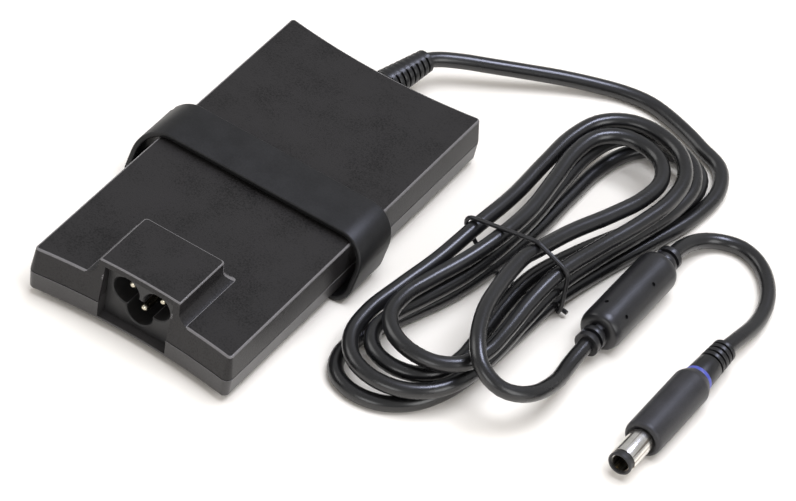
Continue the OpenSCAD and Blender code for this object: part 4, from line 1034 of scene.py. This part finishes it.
@dataclass(frozen=True)
class Case:
    """Base and top shells with dished ends, the inlet's hump, and four feet.

    Levels are heights over the table. An inset is a distance inwards from the widest outline.
    """

    half_width: float = 33.0
    half_length: float = 63.5
    corner: float = 2.0
    front_dish: float = 2.4
    rear_dish: float = 2.5
    draft: float = 0.9
    underside: float = 2.0
    seam_low: float = 8.35
    seam_high: float = 8.75
    top: float = 16.6
    floor: float = 3.8
    ceiling: float = 14.8
    tongue: float = 9.95
    hump_half: float = 13.1
    hump_back: float = -38.6
    hump_height: float = 6.0
    inlet_half: float = 11.1
    inlet_low: float = 3.3
    inlet_high: float = 20.7
    block_back: float = -44.0
    exit_level: float = 9.3
    cavity: float = 2.0
    chamfer: float = 0.7
    seam_inset: float = 0.35
    seam_edge: float = 0.1
    top_edge: float = 0.5
    low_edge: float = 1.0
    low_inset: float = 0.35
    # The strain relief's hole, as (radius, y) pairs
    relief_hole: Profile = ((0, 56), (3.85, 56), (3.85, 65), (0, 65))
    frame_half: float = 13.6
    frame_low: float = 2.9
    frame_high: float = 15.7
    frame_front: float = -60.11
    frame_back: float = -53.0
    tongue_front: float = -59.8
    hollow_half: float = 11.0
    hollow_top: float = 20.8
    hump_wall: float = 1.8
    foot_height: float = 3.0
    flank: float = 0.6
    flare: float = 2.6
    back_flare: float = 1.9
    flare_power: float = 2.4
    hump_sink: float = 0.06
    hump_root: tuple[float, float, float] = (0.9, 3.65, 2.1)
    hump_edge: float = 0.4
    proud: float = 0.02
    posts: tuple[tuple[float, float], ...] = ((-25, -37.6), (-25, 50.0), (25, -37.6), (25, 50.0))
    post: Profile = ((0, 2.8), (2, 2.8), (2, 5.2), (1.1, 5.2), (1.1, 7.6), (0, 7.6))
    feet: tuple[tuple[str, float, float], ...] = (
        ("front_left", -26, -53), ("front_right", 26, -53), ("rear_left", -26, 53), ("rear_right", 26, 53)
    )
    foot: Profile = ((0, 0), (4.5, 0), (4.5, 2.35), (0, 2.35))
    foot_recess: Profile = ((0, 1), (4.6, 1), (4.6, 2.4), (0, 2.4))

    def lean(self, z: float) -> float:
        """How far the top's side leans in at a height."""
        return self.draft / (self.top - self.seam_high) * (z - self.seam_high)

    def end_y(self, x: np.ndarray, dish: float, inset: float) -> np.ndarray:
        """Distance of a dished end from the middle: least at x = 0, and more as x squared."""
        r = max(self.corner - inset, 0.5)
        turn = math.atan(2 * dish / (self.half_width - inset - r))
        half = self.half_width - inset - r - r * math.sin(turn)
        return self.half_length - inset - r * (1 - math.cos(turn)) - dish + dish * (x / half) ** 2

    def outline(self, z: float, inset: float, corner_steps: int = 10, end_steps: int = 36) -> np.ndarray:
        """Ring round the case at a height and an inset."""
        r = max(self.corner - inset, 0.5)
        cx, cy = self.half_width - inset - r, self.half_length - inset - r

        def corner(x: float, y: float, start: float, end: float) -> list[tuple[float, float]]:
            """Arc round a corner's centre."""
            angles = np.radians(np.linspace(start, end, corner_steps + 1))
            return [(x + r * math.cos(a), y + r * math.sin(a)) for a in angles]

        def dish(depth: float, way: int) -> list[tuple[float, float]]:
            """Curve of an end between its corners."""
            half = cx - r * math.sin(math.atan(2 * depth / cx))
            xs = half * way * (1 - 2 * np.arange(1, end_steps) / end_steps)
            return list(zip(xs, way * self.end_y(xs, depth, inset)))

        rear = 90 + math.degrees(math.atan(2 * self.rear_dish / cx))
        front = 90 + math.degrees(math.atan(2 * self.front_dish / cx))
        points = corner(cx, cy, 0, rear) + dish(self.rear_dish, 1) + corner(-cx, cy, 180 - rear, 180)
        points += corner(-cx, -cy, 180, 180 + front) + dish(self.front_dish, -1) + corner(cx, -cy, -front, 0)
        return np.array([(x, y, z) for x, y in points])

    def stack(self, levels: Sequence[tuple[float, float]]) -> Shape:
        """Solid through outlines, each given as (height, inset)."""
        return loft([self.outline(z, inset) for z, inset in levels])

    def openings(self) -> list[Shape]:
        """What is cut from both shells: the inlet and the hole for the strain relief."""
        half, front = self.inlet_half, -self.half_length - 1
        inlet = box((-half, front, self.inlet_low), (half, self.block_back + 0.1, self.inlet_high))
        return [inlet, turned(self.relief_hole).moved((0, 0, self.exit_level))]

    def frame_box(self, low: float, high: float, front: float) -> Shape:
        """Walls round the inlet block, within the case."""
        return box((-self.frame_half, front, low), (self.frame_half, self.frame_back, high))

    def hump(self) -> Shape:
        """The hump over the inlet, with a hollow curve round its foot.

        Up the foot the ring's half width falls by the flare times (1 - t) to a power, where t
        is the share of the foot's height. A quarter round ends the hump.
        """
        steps = 14

        def ring(z: float, half: float, back: float, inset: float) -> np.ndarray:
            """Ring with a dished front and two rounded back corners."""
            xs = half * (2 * np.arange(41) / 40 - 1)
            front = [(x, -y) for x, y in zip(xs, self.end_y(xs, self.front_dish, inset))]
            turns = np.radians(np.linspace(0, 90, 9))
            right = [(half - 1 + math.cos(a), back - 1 + math.sin(a)) for a in turns]
            left = [(1 - half + math.cos(a), back - 1 + math.sin(a)) for a in turns + math.pi / 2]
            return np.array([(x, y, z) for x, y in front + right + left])

        def level(t: float) -> np.ndarray:
            """Ring at a share of the foot's height."""
            spread, rise = (1 - t) ** self.flare_power, self.foot_height * t
            half = self.hump_half + self.flank * (1 - rise / self.hump_height) + self.flare * spread
            z = self.top + rise
            return ring(z, half, self.hump_back + self.back_flare * spread, self.lean(z) - self.proud)

        drop, root, back_root = self.hump_root
        low, peak = self.top - drop, self.top + self.hump_height
        rings = [ring(low, self.hump_half + root, self.hump_back + back_root, self.lean(low) - self.proud)]
        sink = self.hump_sink
        rings += [level((1 + sink) * i / steps - sink) for i in range(steps + 1)]
        for turn in np.radians(np.linspace(0, 90, 5)):
            z = peak - self.hump_edge * (1 - math.sin(turn))
            off = self.hump_edge * (1 - math.cos(turn))
            rings.append(ring(z, self.hump_half - off, self.hump_back - off, self.lean(z) - self.proud + off))
        return loft(rings)

    def build_top(self) -> bpy.types.Object:
        """The top shell, with the hump and its hollow."""
        shelf, slope = self.tongue + self.seam_edge, self.ceiling - self.chamfer
        levels = [
            (self.ceiling, self.cavity + self.chamfer + self.lean(self.ceiling)),
            (slope, self.cavity + self.lean(slope)), (shelf, self.cavity + self.lean(shelf)),
            (shelf, 1.0), (self.seam_high, 1.0),
            (self.seam_high, self.seam_edge), (self.seam_high + self.seam_edge, 0.0),
        ]
        for turn in np.radians(np.linspace(0, 90, 6)):
            z = self.top - self.top_edge * (1 - math.sin(turn))
            levels.append((z, self.lean(z) + self.top_edge * (1 - math.cos(turn))))
        hollow = box(
            (-self.hollow_half, self.block_back - 1, self.ceiling - 1),
            (self.hollow_half, self.hump_back - self.hump_wall, self.hollow_top),
        )
        added = [self.hump(), self.frame_box(shelf, self.frame_high, self.frame_front)]
        obj = combined("top_cover", self.stack(levels), added, [*self.openings(), hollow])
        return dressed(obj, Material.TOP_CASE, ["top_shell"], sharp_deg=24, has_flats=True)

    def build_base(self) -> bpy.types.Object:
        """The base shell, with recesses for its feet and posts for the board."""
        levels = [
            (self.floor, self.cavity + self.chamfer), (self.floor + self.chamfer, self.cavity),
            (self.tongue, self.cavity), (self.tongue, 1.1), (self.seam_high, 1.1),
            (self.seam_high, self.seam_inset), (self.seam_low, self.seam_inset),
            (self.seam_low, self.seam_edge), (self.seam_low - self.seam_edge, 0.0),
            (self.underside + self.low_edge, self.low_inset),
        ]
        for turn in np.radians(np.linspace(15, 90, 6)):
            z = self.underside + self.low_edge * (1 - math.sin(turn))
            levels.append((z, self.low_inset + self.low_edge * (1 - math.cos(turn))))
        posts = [upright(self.post, 32).moved((x, y, 0)) for x, y in self.posts]
        recesses = [upright(self.foot_recess, 48).moved((x, y, 0)) for _, x, y in self.feet]
        added = [
            self.frame_box(self.frame_low, self.seam_low, self.frame_front),
            self.frame_box(self.seam_low - self.seam_edge, self.tongue, self.tongue_front), *posts,
        ]
        obj = combined("base_cover", self.stack(levels[::-1]), added, [*self.openings(), *recesses])
        return dressed(obj, Material.BASE_CASE, ["base_shell"], sharp_deg=24, has_flats=True)

    def build_feet(self) -> list[bpy.types.Object]:
        """Four rubber feet."""
        shape = upright(rounded(self.foot, 0.5, 4))
        return [
            piece(f"rubber_foot_{key}", shape.moved((x, y, 0)), Material.FOOT, [f"foot_{key}"])
            for key, x, y in self.feet
        ]

    def build(self) -> None:
        """Makes the shells and their feet."""
        self.build_top()
        self.build_base()
        self.build_feet()


@dataclass(frozen=True)
class Inlet:
    """Three-lobe mains inlet."""

    half: float = 11.0
    face: float = -58.0
    back: float = -44.0
    low: float = 3.4
    high: float = 20.5
    lobe: float = 4.2
    bite: float = 0.35
    depth: float = 12.5
    lobes: tuple[tuple[float, float], ...] = ((-5.0, 14.25), (5.0, 14.25), (0.0, 9.35))
    contact_hole: float = 1.0
    flange_low: tuple[float, float, float] = (-12.6, -57.8, 4.7)
    flange_high: tuple[float, float, float] = (12.6, -56.2, 15.9)

    def build(self) -> bpy.types.Object:
        """Makes the block with its cloverleaf recess."""
        y, r, hole = self.face, self.lobe, self.contact_hole
        plate = box((-self.half, y, self.low), (self.half, self.back, self.high))
        recess = turned(
            [(0, y - 1), (r + self.bite + 1, y - 1), (r, y + self.bite), (r, y + self.depth),
             (0, y + self.depth)], 72
        )
        seat = turned([(0, y), (hole, y), (hole, self.back + 1), (0, self.back + 1)], 32)
        cuts = [cut.moved((x, 0, z)) for cut in (recess, seat) for x, z in self.lobes]
        flange = box(self.flange_low, self.flange_high)
        obj = combined("inlet_moulding", plate, [flange], cuts)
        return dressed(obj, Material.INLET, ["ac_inlet_block"], has_flats=True)


@dataclass(frozen=True)
class Strap:
    """Cord strap: a soft band round the case. Its foot hangs towards the inlet and the left."""

    half: float = 37.15
    low: float = 0.85
    high: float = 18.45
    low_radius: float = 4.5
    high_radius: float = 8.5
    width: float = 16.0
    thickness: float = 1.7
    place: float = 3.5
    lean: float = 6.5
    sway: float = 1.1
    edge: float = 0.5
    hole_turn_deg: float = 33.0
    hole_shift: float = 5.5
    # What the hole cuts, as (radius, distance from the shoulder's centre)
    hole: Profile = ((0, 6), (1.0, 6), (1.0, 9.1), (1.3, 9.45), (1.3, 11.5), (0, 11.5))

    def line(self) -> list[tuple[np.ndarray, np.ndarray]]:
        """Points and outward directions round the band, from the lower right corner."""

        def corner(x: float, z: float, r: float, start: float) -> list[tuple[np.ndarray, np.ndarray]]:
            """Quarter round: each point with its direction from the centre."""
            angles = np.radians(np.linspace(start, start + 90, 15))
            return [(np.array([x, z]) + r * np.array([math.cos(a), math.sin(a)]),
                     np.array([math.cos(a), math.sin(a)])) for a in angles]

        right = corner(self.half - self.low_radius, self.low + self.low_radius, self.low_radius, -90)
        right += corner(self.half - self.high_radius, self.high - self.high_radius, self.high_radius, 0)
        left = [(p * [-1, 1], n * [-1, 1]) for p, n in reversed(right)]
        knots = right + left
        out = []
        for (p, n), (q, m) in zip(knots, knots[1:] + knots[:1]):
            steps = max(1, int(np.linalg.norm(q - p) // 4))
            out += [(p + (q - p) * i / steps, n + (m - n) * i / steps) for i in range(steps)]
        return out

    def section(self) -> list[tuple[float, float]]:
        """Section across the band as (along, out), with soft edges and a slight crown."""
        w, t, e = self.width / 2, self.thickness / 2, self.edge
        corners = [(w - e, t - e, 0), (e - w, t - e, 90), (e - w, e - t, 180), (w - e, e - t, 270)]
        out = []
        for a, b, start in corners:
            angles = np.radians(np.linspace(start, start + 90, 5))
            out += [(a + e * math.cos(g), b + e * math.sin(g)) for g in angles]
        return out

    def drop(self, z: float) -> float:
        """Share of the way from the band's top run down to its foot."""
        return (self.high - z) / (self.high - self.low)

    def build(self) -> bpy.types.Object:
        """Makes the band with the small hole in its shoulder."""
        section = self.section()
        rings = []
        for point, out in self.line():
            drop = self.drop(point[1])
            x, y = point[0] - self.sway * drop, self.place - self.lean * drop
            rings.append([(x + out[0] * o, y + a, point[1] + out[1] * o) for a, o in section])
        band = loft(np.array(rings)[:, ::-1], closed=True)
        x, z = self.high_radius - self.half, self.high - self.high_radius
        x -= self.sway * self.drop(z + self.high_radius * math.sin(math.radians(self.hole_turn_deg)))
        tool = upright(self.hole, 32).tipped(self.hole_turn_deg - 90)
        tool = tool.moved((x, self.place + self.hole_shift, z))
        obj = combined("band_strap", band, [], [tool])
        return dressed(obj, Material.STRAP, ["strap"], Body.STRAP, sharp_deg=40)


@dataclass(frozen=True)
class InnerLead:
    """Two insulated wires from the board's header to the strain relief."""

    start: float = 52.0
    end: float = 56.1
    level: float = 9.3
    apart: float = 0.8
    pinched: float = 0.78
    radius: float = 0.74

    def build(self) -> bpy.types.Object:
        """Makes both wires, a little closer together at their middle."""
        middle = (self.start + self.end) / 2
        steps = ((self.apart, self.start), (self.pinched, middle), (self.apart, self.end))
        wires = []
        for side in (-1, 1):
            route = [(side * x, y, self.level) for x, y in steps]
            wires.append(tube(curve_through(route, 0.6), self.radius, 16))
        return piece("inner_wires", joined(wires), Material.CORD, ["inner_lead"])


# Finishes of what stays as it was packed, light and floor


def dress_nodes() -> None:
    """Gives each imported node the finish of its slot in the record."""
    finishes = {material.slot: material for material in Material}
    for part in frame["record"]["subparts"]:
        obj = frame["nodes"][part["node"]]
        obj.data.materials.clear()
        obj.data.materials.append(finishes[part["material_slot"]].made())


@dataclass(frozen=True)
class Studio:
    """White floor, soft boxes overhead and at the sides, and a dim room."""

    floor_half: float = 3000.0
    room: float = 0.36
    mirrored: float = 0.5
    cloud: float = 50.0
    aim: tuple[float, float, float] = (50.0, 20.0, 0.0)

    def build_floor(self) -> bpy.types.Object:
        """Makes the floor."""
        h = self.floor_half
        floor = raw_object(
            "studio_floor",
            Shape(np.array([[-h, -h, 0], [h, -h, 0], [h, h, 0], [-h, h, 0]], float), [(0, 1, 2, 3)]),
        )
        # Rolled paper: white and matt, with broad faint clouds.
        paper = bpy.data.materials.new("matt_white_paper")
        nodes = Nodes(paper)
        place = nodes.add("TexCoord").outputs["Object"]
        coords = nodes.add("VectorMath", {0: place, 1: (1 / METRES,) * 3}, operation="MULTIPLY").outputs[0]
        clouds = nodes.add("TexNoise", {"Vector": coords, "Scale": 1 / self.cloud, "Detail": 2}).outputs[0]
        share = nodes.between(clouds, 0.0, 1.0)
        colour = nodes.blend(share, linear("#f3f1ee"), linear("#f6f4f2"))
        shader = nodes.add(
            "BsdfPrincipled", {"Base Color": colour, "Roughness": 0.9, "Specular IOR Level": 0.1}
        )
        nodes.add("OutputMaterial", {"Surface": shader.outputs[0]})
        floor.data.materials.append(paper)
        return floor

    def build_light(
        self, name: str, at: tuple[float, float, float], size: tuple[float, float], watts: float,
        colour: str, in_gloss: bool = True, in_matt: bool = True,
    ) -> None:
        """Makes a soft box that faces the case.

        Args:
            name: The light's name.
            at: Its place, in millimetres.
            size: Its width and depth, in millimetres.
            watts: Its power.
            colour: Its sRGB colour.
            in_gloss: True where reflections show it.
            in_matt: True where it lights matt surfaces.
        """
        data = bpy.data.lights.new(name, "AREA")
        data.shape, data.energy = "RECTANGLE", watts
        data.size, data.size_y = size[0] * METRES, size[1] * METRES
        data.color = linear(colour)[:3]
        obj = bpy.data.objects.new(name, data)
        away = np.asarray(at, float) - np.asarray(self.aim)
        away /= np.linalg.norm(away)
        side = np.cross([0.0, 1.0, 0.0], away)
        side /= np.linalg.norm(side)
        place = np.eye(4)
        place[:3, :3] = np.stack([side, np.cross(away, side), away], 1)
        place[:3, 3] = np.asarray(at) * METRES
        obj.matrix_world = Matrix(place.tolist())
        obj.visible_glossy, obj.visible_diffuse = in_gloss, in_matt
        bpy.context.scene.collection.objects.link(obj)

    def build_room(self) -> None:
        """Makes the room: white for the camera, dim in reflections and dimmer as light."""
        world = bpy.data.worlds.new("studio_room")
        bpy.context.scene.world = world
        nodes = Nodes(world)
        looks = (("#fff4e6", self.room), ("#ffffff", self.mirrored), ("#ffffff", 1.0))
        dim, mirrored, white = (
            nodes.add("Background", {0: linear(colour), 1: strength}).outputs[0]
            for colour, strength in looks
        )
        seen = nodes.add("LightPath").outputs
        hidden = nodes.add("MixShader", {0: seen["Is Glossy Ray"], 1: dim, 2: mirrored}).outputs[0]
        shown = nodes.add("MixShader", {0: seen["Is Camera Ray"], 1: hidden, 2: white}).outputs[0]
        nodes.add("OutputWorld", {0: shown})

    def build(self) -> None:
        """Makes the floor, the lights and the room."""
        self.build_floor()
        self.build_room()
        self.build_light("overhead_box", (250, 300, 2000), (1500, 1500), 44, "#fbfcff", in_gloss=False)
        self.build_light("long_strip", (420, 760, 1950), (520, 1000), 30, "#dfe4ff", in_matt=False)
        self.build_light("right_box", (2200, -200, 1100), (1300, 1300), 18, "#ffffff")
        self.build_light("left_box", (-1900, -500, 1100), (1300, 1300), 11, "#fffefc")
        self.build_light("front_box", (300, -2300, 900), (1300, 1000), 12, "#ffffff")
        bpy.context.scene.view_settings.view_transform = "Standard"


def main() -> None:
    """Builds the whole scene, camera and cord first."""
    logging.basicConfig(level=logging.INFO, format="%(name)s: %(message)s")
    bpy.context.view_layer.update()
    StudioCamera().build()
    dress_nodes()
    OutputCord().build()
    Case().build()
    Inlet().build()
    Strap().build()
    InnerLead().build()
    Studio().build()


if __name__ == "__main__":
    main()
